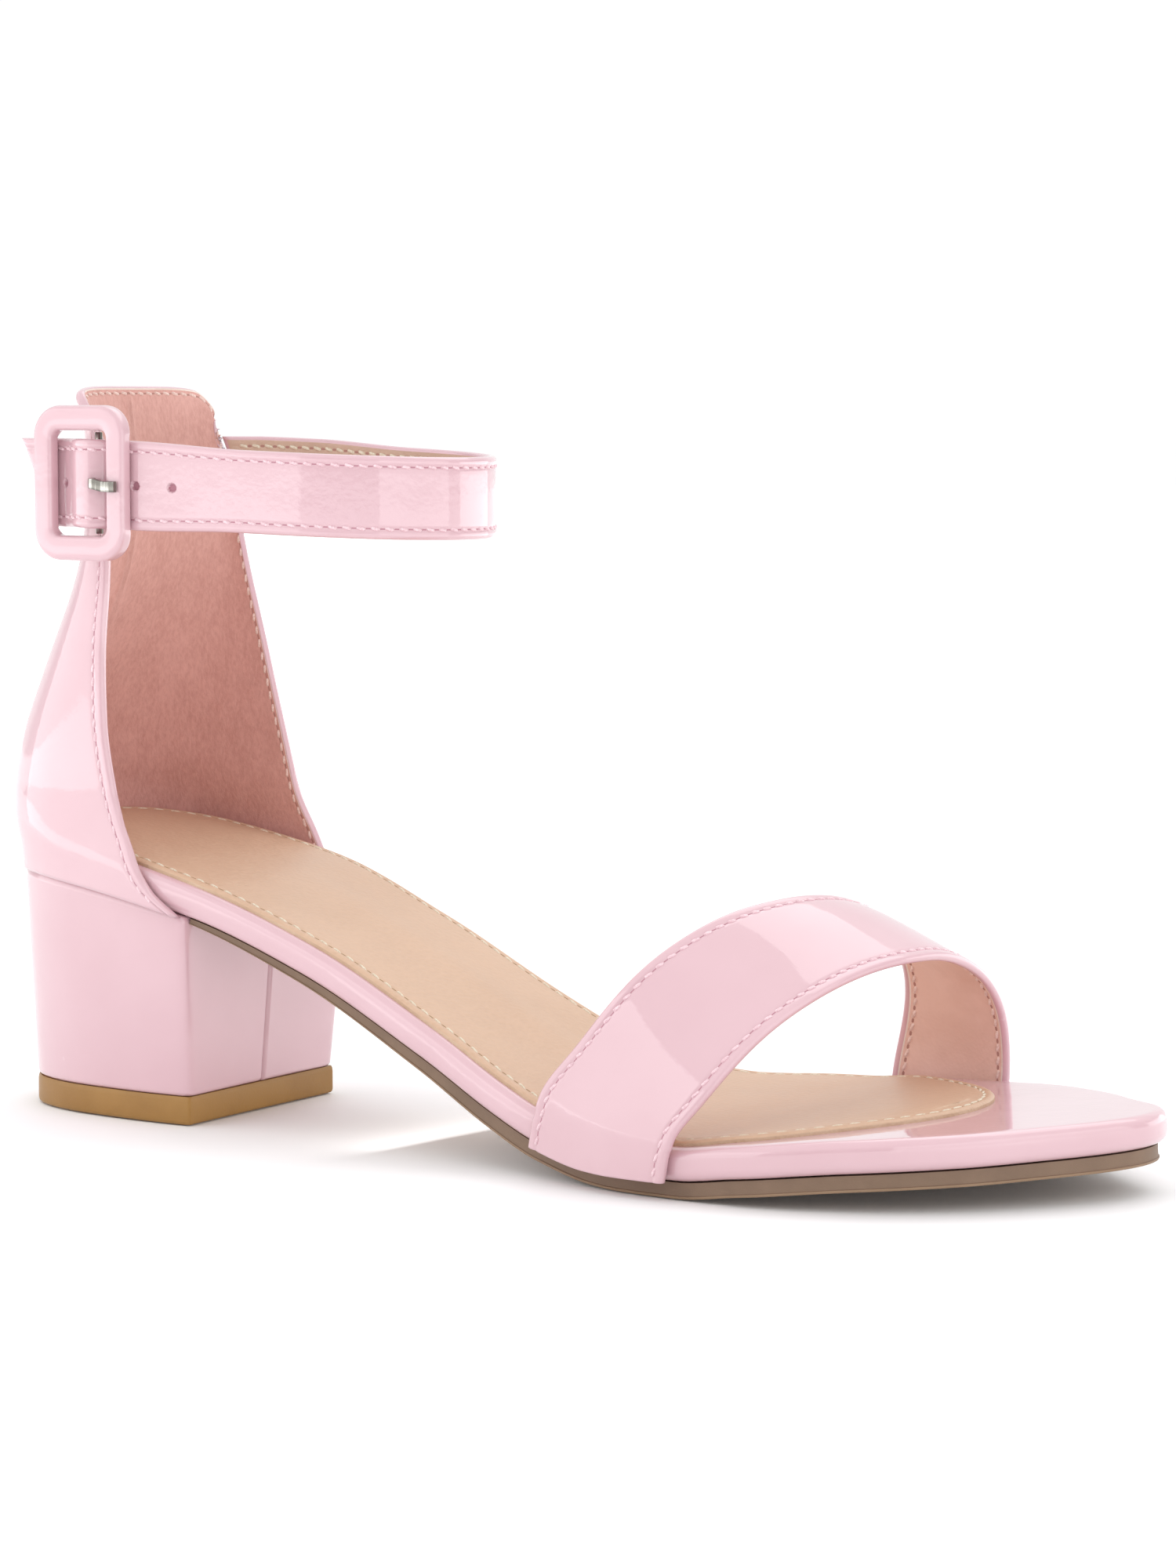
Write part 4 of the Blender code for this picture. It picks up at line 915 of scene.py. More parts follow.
# Counter: both skins of the wall's face, joined along the foot. The distance from a free edge, round
# where the top meets a front edge, sets its thickness, grooves and folds; a ridge with a cleft runs
# up the lining's back.
def makeCounter():
    near, tall, corner = counterNear, counter["height"], counter["corner"]
    footLevels = np.linspace(0.0, counter["footTo"], counter["footRows"])[:-1]
    wallLevels = np.linspace(counter["footTo"], 1.0 - near[-1] / tall, counter["wallRows"])[:-1]
    levels = np.concatenate([footLevels, wallLevels, 1.0 - near[::-1] / tall])
    face = wallPoint(turnsAt(levels, near, counter["across"]), levels[:, None])
    rows, columns = face.shape[:2]
    normals = normalsOf(face)
    outward = -np.sign(normals[rows // 2, columns // 2, 0])
    middleSheet = face - outward * normals * counter["wall"] / 2.0
    if outward < 0:
        middleSheet = middleSheet[:, ::-1]
    fromFront = np.concatenate([near, np.full(columns - 2 * len(near), 1.0), near[::-1]])[None, :]
    fromTop = ((1.0 - levels) * tall)[:, None]
    dx, dy = np.maximum(corner - fromFront, 0.0), np.maximum(corner - fromTop, 0.0)
    rounded = np.maximum(corner - np.hypot(dx, dy), 0.0)
    edge = np.where((dx > 0) & (dy > 0), rounded, np.minimum(fromFront, fromTop))
    groove = counter["groove"] * bell(edge - counter["seamIn"], counter["seamWidth"])
    innerGroove = counter["groove"] * bell(edge - counter["liningSeamIn"], counter["seamWidth"])
    pad = counter["pad"] * puffed(edge, counter["seamIn"])
    run = lengthsOf(face[rows // 2])
    away = (run - run[columns // 2])[None, :]
    ridge = counter["ridge"] * bell(away, counter["ridgeWidth"])
    ridge = ridge - counter["cleft"] * bell(away, counter["cleftWidth"])
    innerRise = ridge * smooth(edge / corner) - innerGroove * counter["innerGroove"] - steppedDown(edge, counter)
    outer, inner, facing = skins(middleSheet, counter["wall"], edge, counter["round"], pad - groove, innerRise)
    size = rows * columns
    points = np.concatenate([outer.reshape(-1, 3), inner.reshape(-1, 3)])
    quads = [gridQuads(rows, columns), gridQuads(rows, columns, size, flip=True),
             bridge(np.arange(columns - 1), 1, size)]
    which = np.concatenate([np.zeros(len(quads[0]), int), liningKinds(edge, counter), np.zeros(columns - 1, int)])
    mesh = meshOf("counterUpper", points, np.concatenate(quads), which, sharp=None)
    upper = linked("counterUpper", mesh, (patent, patentFold, suede, rawEdge), "patent_pink", ("heel_counter",))

    # Seams: up one front edge, round the top and down the other, on both faces.
    bend, turnIn = nearest(fromTop[:, 0], counter["seamBend"]), nearest(near, counter["seamBend"])
    for name, grid, way, thread, hole, inset in (
            ("outer", outer, 1.0, pinkThread, pinkHoleShade, counter["seamIn"]),
            ("lining", inner, -1.0, liningThread, liningHoleShade, counter["liningSeamIn"])):
        topRow, first = nearest(fromTop[:, 0], inset), nearest(near, inset)
        path, up = (np.concatenate([part[2:bend, first], part[topRow, turnIn:columns - turnIn],
                                    part[2:bend, columns - 1 - first][::-1]]) for part in (grid, facing))
        seam(name + "CounterSeam", path, up * way, thread, hole, "patent_pink")
    return upper


makeCounter()
print("counter made")


# Seams along a strip's two long edges, on both faces; a row is at the seam's distance from one edge.
def stripSeams(ends, tail, row, outer, inner, facing, innerThread, stretch):
    for index, where in ((row, ends[0]), (len(outer) - 1 - row, ends[1])):
        for face, skin, way, thread, hole in (("outer", outer, 1.0, pinkThread, pinkHoleShade),
                                              ("lining", inner, -1.0, innerThread, liningHoleShade)):
            path, up = skin[index, stretch], facing[index, stretch] * way
            seam(face + where + tail, path, up, thread, hole, "patent_pink")


# Both skins of a strip's grid as quads, joined across its two end columns.
def stripQuads(rows, columns):
    size = rows * columns
    ends = [bridge(np.arange(rows - 1) * columns + end, columns, size) for end in (0, columns - 1)]
    return np.concatenate([gridQuads(rows, columns), gridQuads(rows, columns, size, flip=True)] + ends)


band = {
    "wall": 0.0018, "rearHeight": 0.0395, "frontHeight": 0.0275, "crown": 0.0008, "crownFrom": 0.2,
    "stations": 260, "across": 26, "blur": 7.0, "blurReach": 24, "seamIn": 0.0022, "seamWidth": 0.0004,
    "groove": 0.0002, "innerGroove": 0.6, "pad": 0.00012, "fold": 0.0010, "rawWidth": 0.0004, "step": 0.00015,
    "round": 0.00085,
}
bandRows = table(
    "turn side rearUp frontUp rear front",
    (0.00, -1.00, -1.00, -1.00, 0.568, 0.700), (0.09, -1.00, 0.00, 0.00, 0.574, 0.706),
    (0.22, -0.92, 0.41, 0.33, 0.612, 0.730), (0.35, -0.68, 0.82, 0.74, 0.660, 0.765),
    (0.48, -0.25, 1.02, 0.97, 0.702, 0.792), (0.54, -0.02, 1.03, 1.01, 0.715, 0.802),
    (0.60, 0.20, 1.00, 1.01, 0.725, 0.810), (0.72, 0.62, 0.79, 0.84, 0.732, 0.814),
    (0.84, 0.93, 0.42, 0.43, 0.722, 0.810), (0.93, 1.00, 0.00, 0.00, 0.706, 0.806),
    (1.00, 1.00, -1.00, -1.00, 0.700, 0.804),
)
# Distances from a free edge, written in millimetres, at which the front strap's rows stand.
bandNear = np.array([0.0, 0.04, 0.14, 0.3, 0.55, 0.85, 1.1, 1.4, 1.7, 1.95, 2.2, 2.45, 2.75, 3.2, 4.0,
                     5.2]) / 1000.0


# Point of the front strap's outer face, across from its rear to its front edge: straight between
# the two edges' heights, with a parabola's crown over it.
def bandPoint(turn, across):
    turn, across = np.broadcast_arrays(np.asarray(turn, float), np.asarray(across, float))
    rear, front = column(bandRows, "rear", turn, "turn"), column(bandRows, "front", turn, "turn")
    share = rear + (front - rear) * across
    lateral, medial = edgeAt(share, "lateral"), edgeAt(share, "medial")
    out = column(bandRows, "side", turn, "turn")
    side = (lateral + medial) / 2.0 + out * ((medial - lateral) / 2.0 + 1.5 * shoe["gap"] + band["wall"])
    along = share * shoe["length"]
    board = shoe["thick"] + extra(along, side)
    heights = []
    for name, arch in (("rearUp", band["rearHeight"]), ("frontUp", band["frontHeight"])):
        up = column(bandRows, name, turn, "turn")
        heights.append(board + up * np.where(up > 0.0, arch, board))
    height = heights[0] + (heights[1] - heights[0]) * across
    crown = band["crown"] * np.maximum(0.0, height / band["rearHeight"] - band["crownFrom"])
    return np.stack([along, side, underside(along) + height + crown * 4.0 * across * (1.0 - across)], -1)


# Front strap: rows at set distances from both edges. A running mean along the arch, with bell
# weights, takes the table's corners out of it, and fades out at the two ends.
def makeBand():
    near, reach = bandNear, band["blurReach"]
    turns = np.linspace(0.0, 1.0, band["stations"])
    fine = np.linspace(0.0, 1.0, 60)
    grid = []
    for turn in turns:
        lengths = lengthsOf(bandPoint(turn, fine))
        inner = np.linspace(near[-1], lengths[-1] - near[-1], band["across"])[1:-1]
        at = np.concatenate([near, inner, lengths[-1] - near[::-1]])
        grid.append(bandPoint(turn, np.interp(at, lengths, fine)))
    face = np.stack(grid, axis=1)
    offsets = np.arange(-reach, reach + 1)
    weights = np.exp(-0.5 * (offsets / band["blur"]) ** 2)
    padded = np.concatenate([face[:, :1]] * reach + [face] + [face[:, -1:]] * reach, axis=1)
    mean = sum(padded[:, reach + k:reach + k + len(turns)] * w for k, w in zip(offsets, weights)) / weights.sum()
    ends = (smooth((turns - 0.05) / 0.15) * smooth((0.97 - turns) / 0.12))[None, :, None]
    face = face + (mean - face) * ends
    rows, columns = face.shape[:2]
    if normalsOf(face)[rows // 2, columns // 2, 2] < 0.0:
        face = face[:, ::-1]
    middleSheet = face - normalsOf(face) * band["wall"] / 2.0
    edge = np.concatenate([near, np.full(rows - 2 * len(near), 1.0), near[::-1]])[:, None] + np.zeros((1, columns))
    groove = band["groove"] * bell(edge - band["seamIn"], band["seamWidth"])
    pad = band["pad"] * puffed(edge, band["seamIn"])
    innerRise = -groove * band["innerGroove"] - steppedDown(edge, band)
    outer, inner, facing = skins(middleSheet, band["wall"], edge, band["round"], pad - groove, innerRise)
    points = np.concatenate([outer.reshape(-1, 3), inner.reshape(-1, 3)])
    which = np.concatenate([np.zeros((rows - 1) * (columns - 1), int), liningKinds(edge, band),
                            np.ones(2 * (rows - 1), int)])
    mesh = meshOf("frontStrapUpper", points, stripQuads(rows, columns), which, sharp=None)
    upper = linked("frontStrapUpper", mesh, (patent, patentFold, lining, rawEdge), "patent_pink", ("front_strap",))
    first = nearest(near, band["seamIn"])
    stripSeams(("Rear", "Front"), "StrapSeam", first, outer, inner, facing, liningThread, slice(2, -2))
    return upper


makeBand()
print("front strap made")

strap = {
    "width": 0.0172, "frontWidth": 0.0158, "thick": 0.0017, "thinner": 0.00012, "front": 0.1015,
    "halfWidth": 0.0285, "across": 27,
    "height": 0.1257, "drop": 0.0028, "tailCut": 0.0083, "endFade": 0.0124, "round": 0.0008,
    "fold": 0.0007,
    "seamIn": 0.0020, "seamWidth": 0.00035, "groove": 0.00018, "innerGroove": 0.6, "pad": 0.00010,
    "hole": 0.0009, "pitch": 0.0078, "holes": (-1.1, 0.0, 1.0, 2.0), "lip": 0.0001, "tailFrom": 0.55,
    "closeBy": 0.0016, "closeStep": 0.00018, "step": 0.0008,
}
buckle = {
    "along": 0.0330, "length": 0.0220, "height": 0.0300, "rail": 0.0044, "beam": 0.0049, "thick": 0.0042,
    "relief": 0.0010, "corner": 0.0038, "squareness": 0.55, "bar": 0.0020, "barRadius": 0.00075,
    "barSide": 0.0320, "prong": 0.0010, "prongWidth": 0.0021, "prongDrop": 0.0006,
    "tab": 0.0007, "tabHeight": 0.0140, "slot": 0.0034, "lap": 0.0055, "lapFrom": 0.0010, "neck": 1.35,
    "opening": 32.0,
}
# The strap's way round the ankle, and over the bar and under the frame, as shares of its sizes.
loopRows = table(
    "reach side", (0.22, 0.970), (0.46, 0.980), (0.70, 0.860), (0.88, 0.600), (0.98, 0.220),
    (0.99, -0.200), (0.92, -0.580), (0.78, -0.840), (0.60, -0.980), (0.44, -1.040),
)
weaveRows = table(
    "reach lift", (0.95, 0.00), (0.62, 0.00), (0.40, 0.03), (0.20, 0.62), (0.00, 1.00), (-0.25, 0.80),
    (-0.50, 0.32), (-0.74, 0.02), (-1.00, 0.00), (-1.25, -0.05), (-1.76, -0.20),
)
# Distances from a free edge, written in millimetres, at which the ankle strap's rows stand.
strapNear = np.array([0.0, 0.04, 0.14, 0.3, 0.5, 0.75, 1.0, 1.25, 1.55, 1.8, 2.0, 2.2, 2.45, 2.8, 3.3, 4.2, 5.2,
                      6.1]) / 1000.0
liftOverBar = buckle["barRadius"] + 3.0 * shoe["gap"] + buckle["prong"] + strap["thick"] / 2.0
frameOuter = buckle["barSide"] + liftOverBar + strap["thick"] / 2.0
frameInner = frameOuter - buckle["thick"]
strapRest = frameInner + buckle["relief"] - shoe["gap"] - strap["thick"] / 2.0
barAlong = buckle["along"] + buckle["bar"]
prongAlong = barAlong + buckle["barRadius"] + shoe["gap"] + buckle["prong"] / 2.0


# The strap's middle falls evenly from the buckle to the front of the ankle.
def strapHeight(along):
    run = np.clip((along - buckle["along"]) / (strap["front"] - buckle["along"]), 0.0, 1.0)
    return strap["height"] - strap["drop"] * run


# Middle of the counter wall's front edge at a height.
def wingEdge(turn, height):
    line = wallPoint(turn, np.linspace(0.5, 1.0, 600))
    point = np.array([np.interp(height, line[:, 2], line[:, k]) for k in range(3)])
    point[1] += counter["wall"] / 2.0 * (1.0 if turn < 0.5 else -1.0)
    return point


# Smooth curve through points, at an even step: each span is a cubic set by its neighbours.
def smoothPath(points, step):
    padded = np.concatenate([[points[0] * 2 - points[1]], points, [points[-1] * 2 - points[-2]]])
    a, b, c, d = padded[:-3], padded[1:-2], padded[2:-1], padded[3:]
    t = np.linspace(0.0, 1.0, 33)[:-1, None, None]
    fine = 0.5 * (2 * b + (c - a) * t + (2 * a - 5 * b + 4 * c - d) * t ** 2 + (3 * b - a - 3 * c + d) * t ** 3)
    fine = np.concatenate([fine.transpose(1, 0, 2).reshape(-1, points.shape[1]), points[-1:]])
    return evenly(fine, step=step)


# Line of the ankle strap's middle: the wing's root, the loop, then the weave through the buckle.
# Columns stand close at the punched holes, by a running sum of their density, and apart elsewhere.
def strapPath():
    root = wingEdge(1.0, strap["height"])
    reach = root[0] + (strap["front"] - root[0]) * loopRows["reach"]
    along = barAlong + buckle["length"] / 2.0 * weaveRows["reach"]
    rise = buckle["barSide"] + liftOverBar - strapRest
    flat = smoothPath(np.concatenate([
        [[root[0] + 2.0 * shoe["gap"], root[1]]],
        np.stack([reach, strap["halfWidth"] * loopRows["side"]], -1),
        np.stack([along, -strapRest - rise * weaveRows["lift"]], -1)]), 0.0001)
    lengths = lengthsOf(flat)
    onTail = lengths > lengths[-1] * strap["tailFrom"]
    places = prongAlong + strap["pitch"] * np.array(strap["holes"])
    close = np.abs(flat[:, 0][:, None] - places[None, :]).min(1) < strap["closeBy"]
    density = np.where(close & onTail, 1.0 / strap["closeStep"], 1.0 / strap["step"])
    total = np.concatenate([[0.0], np.cumsum(density[:-1] * np.diff(lengths))])
    at = np.interp(np.linspace(0.0, total[-1], int(total[-1])), total, lengths)
    flat = readAt(at, lengths, flat)
    return np.column_stack([flat, strapHeight(flat[:, 0])]), root


# Upright strip along that line. Its half thickness runs out round every edge as a half ellipse does,
# its root follows the wing's edge, its tail is cut on a slant, and its holes sink both faces and are coloured dark
# as painted shade.
def makeStrap():
    path, root = strapPath()
    near = strapNear
    lengths = lengthsOf(path)
    ahead = unit(np.gradient(path[:, :2], axis=0))
    out = np.stack([-ahead[:, 1], ahead[:, 0], np.zeros(len(path))], -1)
    fade = (strap["front"] - buckle["along"] - buckle["length"]) / 2.0
    narrow = smooth((path[:, 0] - buckle["along"] - buckle["length"] / 2.0) / fade)
    width = strap["width"] + (strap["frontWidth"] - strap["width"]) * narrow
    inner = np.linspace(near[-1], width - near[-1], strap["across"])[1:-1]
    up = np.concatenate([near[:, None] + 0.0 * width, inner, width - near[::-1][:, None]]) - width / 2.0
    fromSide = width / 2.0 - np.abs(up)
    atRoot = np.clip(1.0 - lengths / strap["endFade"], 0.0, 1.0)
    atTail = np.clip(1.0 - (lengths[-1] - lengths) / strap["endFade"], 0.0, 1.0)
    wing = wallPoint(1.0, np.linspace(0.6, 1.0, 400))
    wing = readAt(path[0, 2] + up[:, 0], wing[:, 2], wing[:, :2]) - root[:2]
    wing += [2.0 * shoe["gap"], -counter["wall"] / 2.0]
    centre = path[None] + np.zeros((len(up), 1, 3))
    centre[..., 0] += wing[:, :1] * atRoot + strap["tailCut"] * (0.5 - up / strap["width"]) * atTail
    centre[..., 1] += wing[:, 1:] * atRoot
    centre[..., 2] += up
    edge = np.minimum(fromSide, np.minimum(lengths, lengths[-1] - lengths) + 0.00005)
    groove = strap["groove"] * bell(fromSide - strap["seamIn"], strap["seamWidth"]) * smooth(lengths / 0.002)
    pad = strap["pad"] * puffed(edge, strap["seamIn"])
    half = (strap["thick"] - strap["thinner"]) / 2.0
    half = half * np.sqrt(1.0 - np.clip(1.0 - edge / strap["round"], 0.0, 1.0) ** 2)
    sink, holeShadeMask = np.zeros_like(edge), np.zeros_like(edge)
    offTail = np.where(lengths > lengths[-1] * strap["tailFrom"], 0.0, 1.0)
    for place in strap["holes"]:
        away = np.hypot(centre[..., 0] - prongAlong - strap["pitch"] * place, up) + offTail
        sink = np.maximum(sink, 1.0 - smooth((away - strap["hole"] * 0.75) / (strap["hole"] * 0.35)))
        holeShadeMask = np.maximum(holeShadeMask, away < strap["hole"] * 0.95)
    half = half * (1.0 - 0.9 * sink)
    lip = strap["lip"] * bell(sink - 0.02, 0.05) * (sink > 0.001)
    outer = centre + out * (half + pad - groove + lip)[..., None]
    inner = centre - out * (half - groove * strap["innerGroove"])[..., None]
    rows, columns = up.shape
    # Quads inside each punched hole take the dark hole colour: painted shade in the hole.
    holeShaded = (holeShadeMask[:-1, :-1] + holeShadeMask[1:, 1:] > 1.0).ravel()
    folded = (edge[:-1, :-1] + edge[1:, 1:]).ravel() / 2.0 < strap["fold"]
    which = np.concatenate([np.where(holeShaded, 3, 0), np.where(holeShaded, 3, np.where(folded, 1, 2)),
                            np.ones(2 * (rows - 1), int)])
    points = np.concatenate([outer.reshape(-1, 3), inner.reshape(-1, 3)])
    mesh = meshOf("ankleStrapUpper", points, stripQuads(rows, columns), which, sharp=None)
    materials = (patent, patentFold, strapLining, pinkHoleShade)
    piece = linked("ankleStrapUpper", mesh, materials, "patent_pink", ("ankle_strap",))
    first = nearest(near, strap["seamIn"])
    facing = np.broadcast_to(out, outer.shape)
    stripSeams(("Lower", "Upper"), "AnkleSeam", first, outer, inner, facing, creamThread, slice(3, -4))
    return piece


# Cosine and sine of a full turn in even steps, their sizes raised to a power: under 1 squares the circle.
def squareRound(sides, power):
    turns = 2.0 * np.pi * (np.arange(sides) + 0.5) / sides
    c, s = np.cos(turns), np.sin(turns)
    return np.sign(c) * np.abs(c) ** power, np.sign(s) * np.abs(s) ** power


# Frame: an oblong loop with round corners whose section is a soft square, thinner in its uprights.
def makeBuckleFrame():
    halfX, halfZ = (buckle["length"] - buckle["rail"]) / 2.0, (buckle["height"] - buckle["beam"]) / 2.0
    corner = buckle["corner"]
    loop, outs = [], []
    for cx, cz, start in ((1, 1, 0.0), (-1, 1, 0.5), (-1, -1, 1.0), (1, -1, 1.5)):
        turns = np.pi * (start + 0.5 * np.linspace(0.0, 1.0, 20))
        direction = np.stack([np.cos(turns), np.sin(turns)], -1)
        loop.append(np.array([cx * (halfX - corner), cz * (halfZ - corner)]) + direction * corner)
        outs.append(direction)
    loop, outs = (np.concatenate(parts + [parts[0][:1]]) for parts in (loop, outs))
    lengths = lengthsOf(loop)
    at = np.linspace(0.0, lengths[-1], 181)[:-1]
    loop, outs = readAt(at, lengths, loop), unit(readAt(at, lengths, outs))
    upright = np.clip((halfZ - np.abs(loop[:, 1])) / corner, 0.0, 1.0)
    inner = frameInner + buckle["relief"] * upright
    mid, deep = (frameOuter + inner) / 2.0, (frameOuter - inner) / 2.0
    rail = buckle["beam"] + (buckle["rail"] - buckle["beam"]) * upright
    c, s = squareRound(40, buckle["squareness"])
    flat = loop[:, None, :] + outs[:, None, :] * (rail[:, None] / 2.0 * c)[..., None]
    depth = deep[:, None] * s
    height = strapHeight(buckle["along"])
    points = np.stack([buckle["along"] + flat[..., 0], -mid[:, None] - depth, height + flat[..., 1]], -1)
    grid = np.concatenate([points, points[:1]])
    mesh = meshOf("buckleFrameCover", grid, gridQuads(len(grid), 40, 0, True), sharp=None)
    return linked("buckleFrameCover", mesh, (patent,), "patent_pink", ("buckle_frame",))


# Flat strip along a path, of a width up and a thickness across, closed by a point at each end.
def strip(name, path, width, thickness, material, slotName, nodes, power=0.45, sides=20):
    ahead = unit(np.gradient(path[:, :2], axis=0))
    out = np.stack([ahead[:, 1], -ahead[:, 0], np.zeros(len(path))], -1)
    c, s = squareRound(sides, power)
    points = path[:, None, :] + out[:, None, :] * (c * thickness / 2.0)[:, None]
    points = points + np.array([0.0, 0.0, 1.0]) * (s * width / 2.0)[:, None]
    first, last = (np.broadcast_to(ring.mean(0), (1, *ring.shape)) for ring in (points[0], points[-1]))
    grid = np.concatenate([first, points, last])
    mesh = meshOf(name, grid, gridQuads(len(grid), sides, 0, True), sharp=40.0)
    return linked(name, mesh, (material,), slotName, nodes)


# Points on a circle round the bar, in plan, between two bearings in degrees.
def roundBar(radius, first, last, count):
    turns = np.radians(np.linspace(first, last, count))
    return np.stack([barAlong + radius * np.cos(turns), -buckle["barSide"] + radius * np.sin(turns)], -1)


# Bar: circles up the inside of the frame, with a small bevel and a centre point at each end.
def makeBar():
    half = buckle["height"] / 2.0 - buckle["beam"] - shoe["gap"]
    turns = 2.0 * np.pi * np.arange(32) / 32
    low, high = -half + 0.0001, half - 0.0001
    rows = []
    for share, z in ((0.0, -half), (0.9, -half), (1.0, low), (1.0, high), (0.9, half), (0.0, half)):
        r = buckle["barRadius"] * share
        rows.append(np.stack([barAlong + r * np.cos(turns), -buckle["barSide"] + r * np.sin(turns),
                              strapHeight(buckle["along"]) + z + 0.0 * turns], -1))
    mesh = meshOf("buckleBarSteel", np.stack(rows), gridQuads(len(rows), 32, 0, True), sharp=40.0)
    return linked("buckleBarSteel", mesh, (steel,), "steel", ("buckle_bar",))


# Prong: round the bar, out through the strap's hole, and along the frame to its far upright, a
# little lower at its tip.
def makeProng():
    radius = buckle["barRadius"] + shoe["gap"] + buckle["prong"] / 2.0
    face = -frameOuter - shoe["gap"] - buckle["prong"] / 2.0
    bend = buckle["prong"]
    stand = barAlong + radius
    tip = buckle["along"] + buckle["length"] / 2.0 - buckle["rail"] * 0.25
    corners = [[stand, face + bend], [stand + bend * 0.3, face + bend * 0.3], [stand + bend, face], [tip, face]]
    path = smoothPath(np.concatenate([roundBar(radius, 200.0, 0.0, 24), corners]), 0.0003)
    run = smooth((path[:, 0] - stand) / 0.004)
    path = np.column_stack([path, strapHeight(buckle["along"]) - buckle["prongDrop"] * run])
    return strip("bucklePin", path, buckle["prongWidth"], buckle["prong"], steel, "steel", ("buckle_prong",))


# Tab: a doubled strip from the wing to a loop round the bar. Its two layers stand either side of a
# centre line, square to it, and a slot for the prong leaves an upper and a lower strip.
def makeTab():
    height, tab = strapHeight(buckle["along"]), buckle["tab"]
    bar = np.array([barAlong, -buckle["barSide"]])
    loop = buckle["barRadius"] + shoe["gap"] / 2.0 + tab / 2.0
    anchor = wingEdge(0.0, strap["height"] - buckle["tabHeight"] / 2.0)
    seat = anchor[1] - counter["wall"] / 2.0 - 1.5 * shoe["gap"] - tab
    front = np.array([anchor[0] - buckle["lapFrom"], seat])
    rear = np.array([anchor[0] - buckle["lap"], seat + shoe["gap"] / 2.0])
    away = unit(front - bar)
    centre = np.stack([rear, front, bar + away * loop * buckle["neck"]])
    steps = unit(np.diff(centre, axis=0))
    after = steps[[0, 1, 1]]
    ahead = unit(steps[[0, 0, 1]] + after)
    square = np.stack([ahead[:, 1], -ahead[:, 0]], -1) * (tab + shoe["gap"]) / 2.0
    square /= (ahead * after).sum(-1, keepdims=True)
    turned = math.degrees(math.atan2(away[1], away[0]))
    bow = roundBar(loop, turned + buckle["opening"], turned + 360.0 - buckle["opening"], 14)
    path = evenly(np.concatenate([centre + square, bow, (centre - square)[::-1]]), step=0.0003)
    width = (buckle["tabHeight"] - buckle["slot"]) / 2.0
    for name, sign, nodes in (("buckleTabUpper", 1.0, ("buckle_tab",)), ("buckleTabLower", -1.0, ())):
        level = height + sign * (buckle["slot"] / 2.0 + width / 2.0)
        lifted = np.column_stack([path, np.full(len(path), level)])
        strip(name, lifted, width, tab, patentFold, "patent_pink", nodes, 0.35)


makeStrap()
makeBuckleFrame()
makeBar()
makeProng()
makeTab()
print("ankle strap made")

# Place in metres, turns in degrees, and the focal length in pixels of a frame of that height.
view = {
    "place": (0.5333, -0.69165, 0.1412), "yaw": 31.95, "pitch": 5.06, "focal": 5496.0, "tall": 2000.0,
    "sensor": 36.0,
}


# Camera: its lens is the focal length over the frame's height, times the sensor.
def makeCamera():
    data = bpy.data.cameras.new("camera")
    data.sensor_width = view["sensor"]
    data.lens = view["focal"] / view["tall"] * view["sensor"]
    data.clip_start = 0.01
    data.clip_end = 50.0
    camera = bpy.data.objects.new("camera", data)
    bpy.context.scene.collection.objects.link(camera)
    camera.location = view["place"]
    camera.rotation_euler = Euler((math.radians(90.0 - view["pitch"]), 0.0, math.radians(view["yaw"])))
    bpy.context.scene.camera = camera


floorLook = {
    "colour": (0.94, 0.94, 0.945), "size": 12.0, "level": -0.0002, "glow": 0.02, "farGlow": 0.5,
    "glowFrom": 0.28, "glowTo": 0.9,
}


# Square of paper whose far parts glow as a lit sweep does, by a soft step of the distance.
def makeFloor():
    half = floorLook["size"] / 2.0
    mesh = bpy.data.meshes.new("floor")
    corners = [(-half, -half, 0.0), (half, -half, 0.0), (half, half, 0.0), (-half, half, 0.0)]
    mesh.from_pydata(corners, [], [(0, 1, 2, 3)])
    material, tree, shader = begin("floorPaper", Roughness=0.6, Specular_IOR_Level=0.2)
    shader.inputs["Emission Color"].default_value = (1.0, 1.0, 1.0, 1.0)
    shader.inputs["Base Color"].default_value = (*floorLook["colour"], 1.0)
    apart = tree.nodes.new("ShaderNodeVectorMath")
    apart.operation = "LENGTH"
    tree.links.new(objectPlace(tree), apart.inputs[0])
    far = Term(tree, apart.outputs["Value"]).ramp(floorLook["glowFrom"], floorLook["glowTo"])
    tree.links.new((far * floorLook["farGlow"] + floorLook["glow"]).socket, shader.inputs["Emission Strength"])
    mesh.materials.append(material)
    obj = bpy.data.objects.new("floor", mesh)
    bpy.context.scene.collection.objects.link(obj)
    obj.location.z = floorLook["level"]


# Soft boxes stand on the floor round the shoe: each one's bearing from it in degrees, distance,
# width, top and brightness.
softBoxes = {
    "left": {"bearing": -136.0, "away": 0.55, "width": 0.97, "top": 0.50, "bright": 1.15},
    "front": {"bearing": -16.0, "away": 0.62, "width": 0.84, "top": 0.42, "bright": 0.98},
    "breast": {"bearing": 54.0, "away": 0.60, "width": 0.50, "top": 0.20, "bright": 1.4},
}
# A small lamp under the arch, unseen in the gloss, opens the shadow on the heel's breast.
lowLamp = {"at": (0.080, -0.008, 0.009), "aim": (0.036, -0.002, 0.028), "size": (0.04, 0.012), "bright": 6.0}
overhead = {"at": (0.12, 0.52, 0.92), "size": (1.0, 0.6), "bright": 0.95}
studio = {
    "centre": (0.06, 0.0), "fill": 0.54, "zenith": 1.18, "back": 1.02, "behind": (-0.527, 0.845, 0.09),
    "seen": 1.02,
}


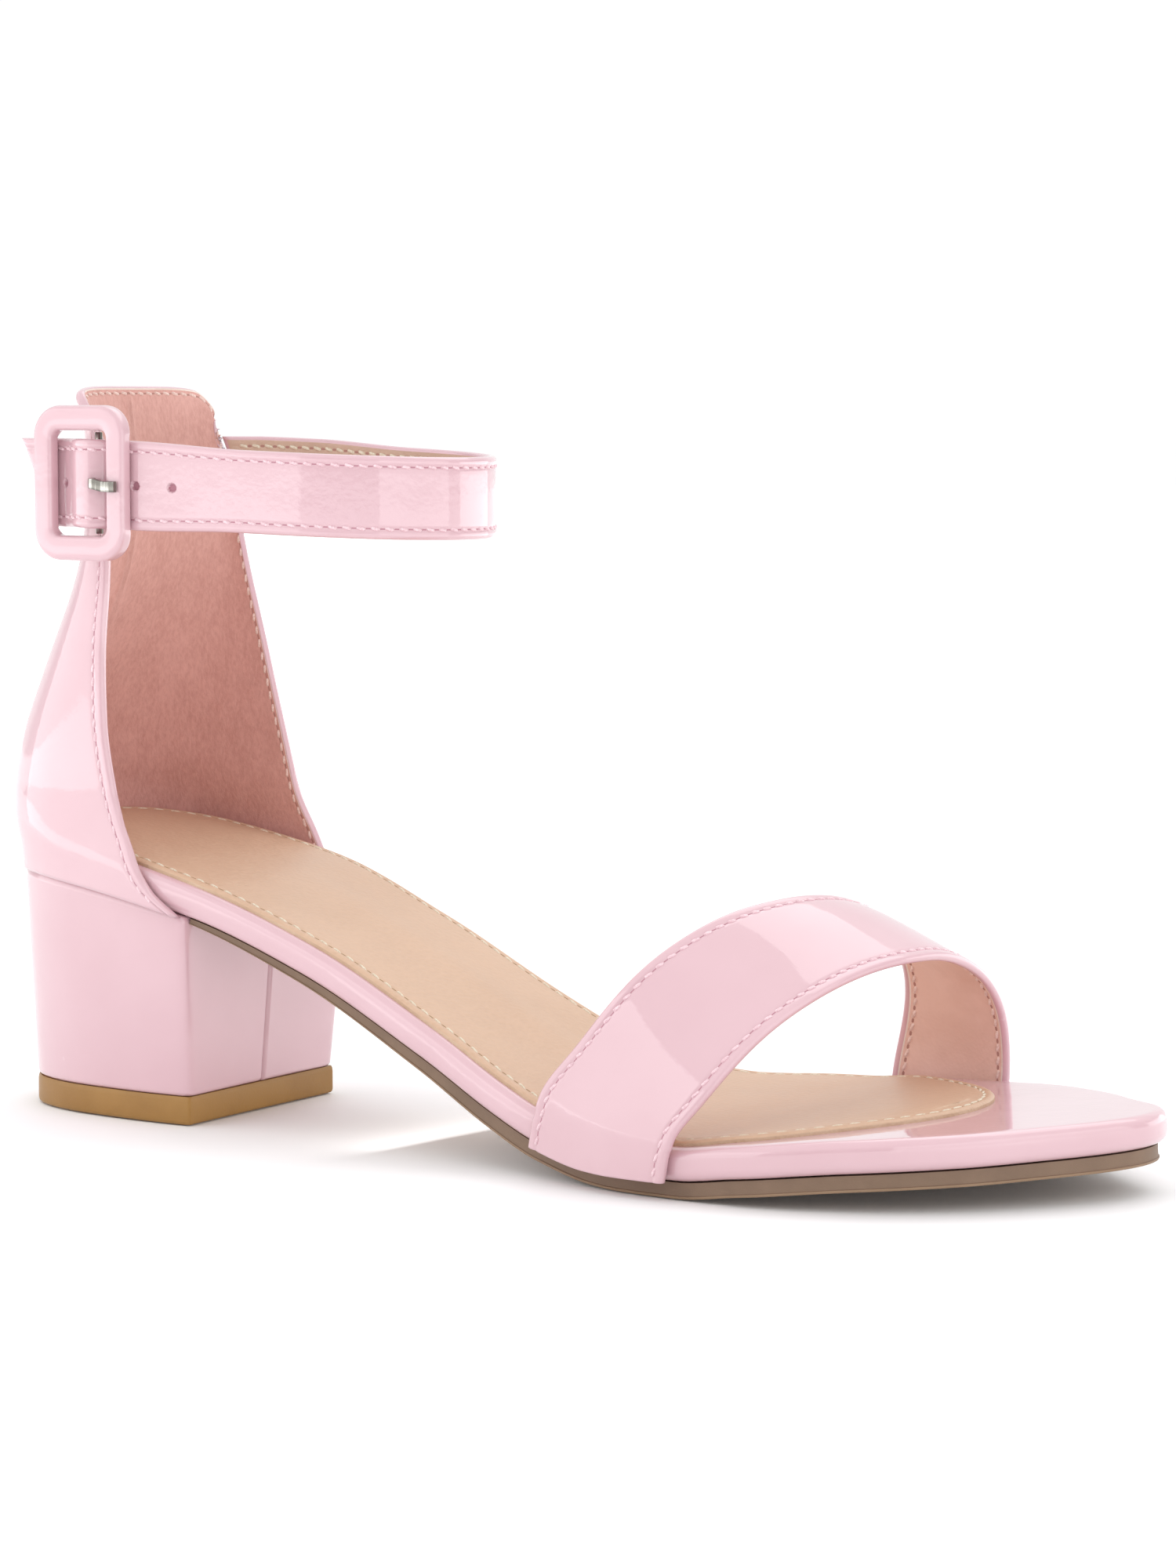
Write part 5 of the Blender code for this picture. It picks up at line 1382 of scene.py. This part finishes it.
# Rectangle of light at a place, aimed at a point; its power is brightness times pi times its area.
def softBox(name, place, aim, size, bright):
    data = bpy.data.lights.new(name, "AREA")
    data.shape = "RECTANGLE"
    data.size, data.size_y = size
    data.energy = bright * math.pi * size[0] * size[1]
    light = bpy.data.objects.new(name, data)
    bpy.context.scene.collection.objects.link(light)
    light.location = place
    light.rotation_euler = (Vector(aim) - Vector(place)).to_track_quat("-Z", "Y").to_euler()
    return light


# Lights: each soft box stands at its bearing and looks level at the shoe's middle.
def makeLights():
    x, y = studio["centre"]
    for name, box in softBoxes.items():
        turn = math.radians(box["bearing"])
        level = box["top"] / 2.0 + 0.002
        place = (x + box["away"] * math.cos(turn), y + box["away"] * math.sin(turn), level)
        softBox(name, place, (x, y, level), (box["width"], box["top"]), box["bright"])
    low = softBox("low", lowLamp["at"], lowLamp["aim"], lowLamp["size"], lowLamp["bright"])
    low.visible_glossy = low.visible_camera = False
    softBox("over", overhead["at"], (x, y, 0.0), overhead["size"], overhead["bright"])


# Room: a sky that brightens upwards, a white backdrop behind the shoe, and white where the camera looks.
def makeRoom():
    world = bpy.data.worlds.new("studio")
    bpy.context.scene.world = world
    world.use_nodes = True
    tree = world.node_tree
    direction = tree.nodes.new("ShaderNodeTexCoord").outputs["Generated"]
    facing = tree.nodes.new("ShaderNodeVectorMath")
    facing.operation = "DOT_PRODUCT"
    tree.links.new(direction, facing.inputs[0])
    facing.inputs[1].default_value = studio["behind"]
    upward = tree.nodes.new("ShaderNodeSeparateXYZ")
    tree.links.new(direction, upward.inputs[0])
    sky = Term(tree, upward.outputs["Z"]).ramp(0.25, 0.75) * (studio["zenith"] - studio["fill"]) + studio["fill"]
    backdrop = Term(tree, facing.outputs["Value"]).ramp(0.45, 0.85) * studio["back"]
    seen = Term(tree, tree.nodes.new("ShaderNodeLightPath").outputs["Is Camera Ray"]) * studio["seen"]
    lit = sky.math("MAXIMUM", backdrop).math("MAXIMUM", seen)
    tree.nodes["Background"].inputs["Color"].default_value = (1.0, 1.0, 1.0, 1.0)
    tree.links.new(lit.socket, tree.nodes["Background"].inputs["Strength"])


makeCamera()
makeFloor()
makeLights()
makeRoom()
bpy.context.scene.view_settings.view_transform = "Standard"
print("studio made")
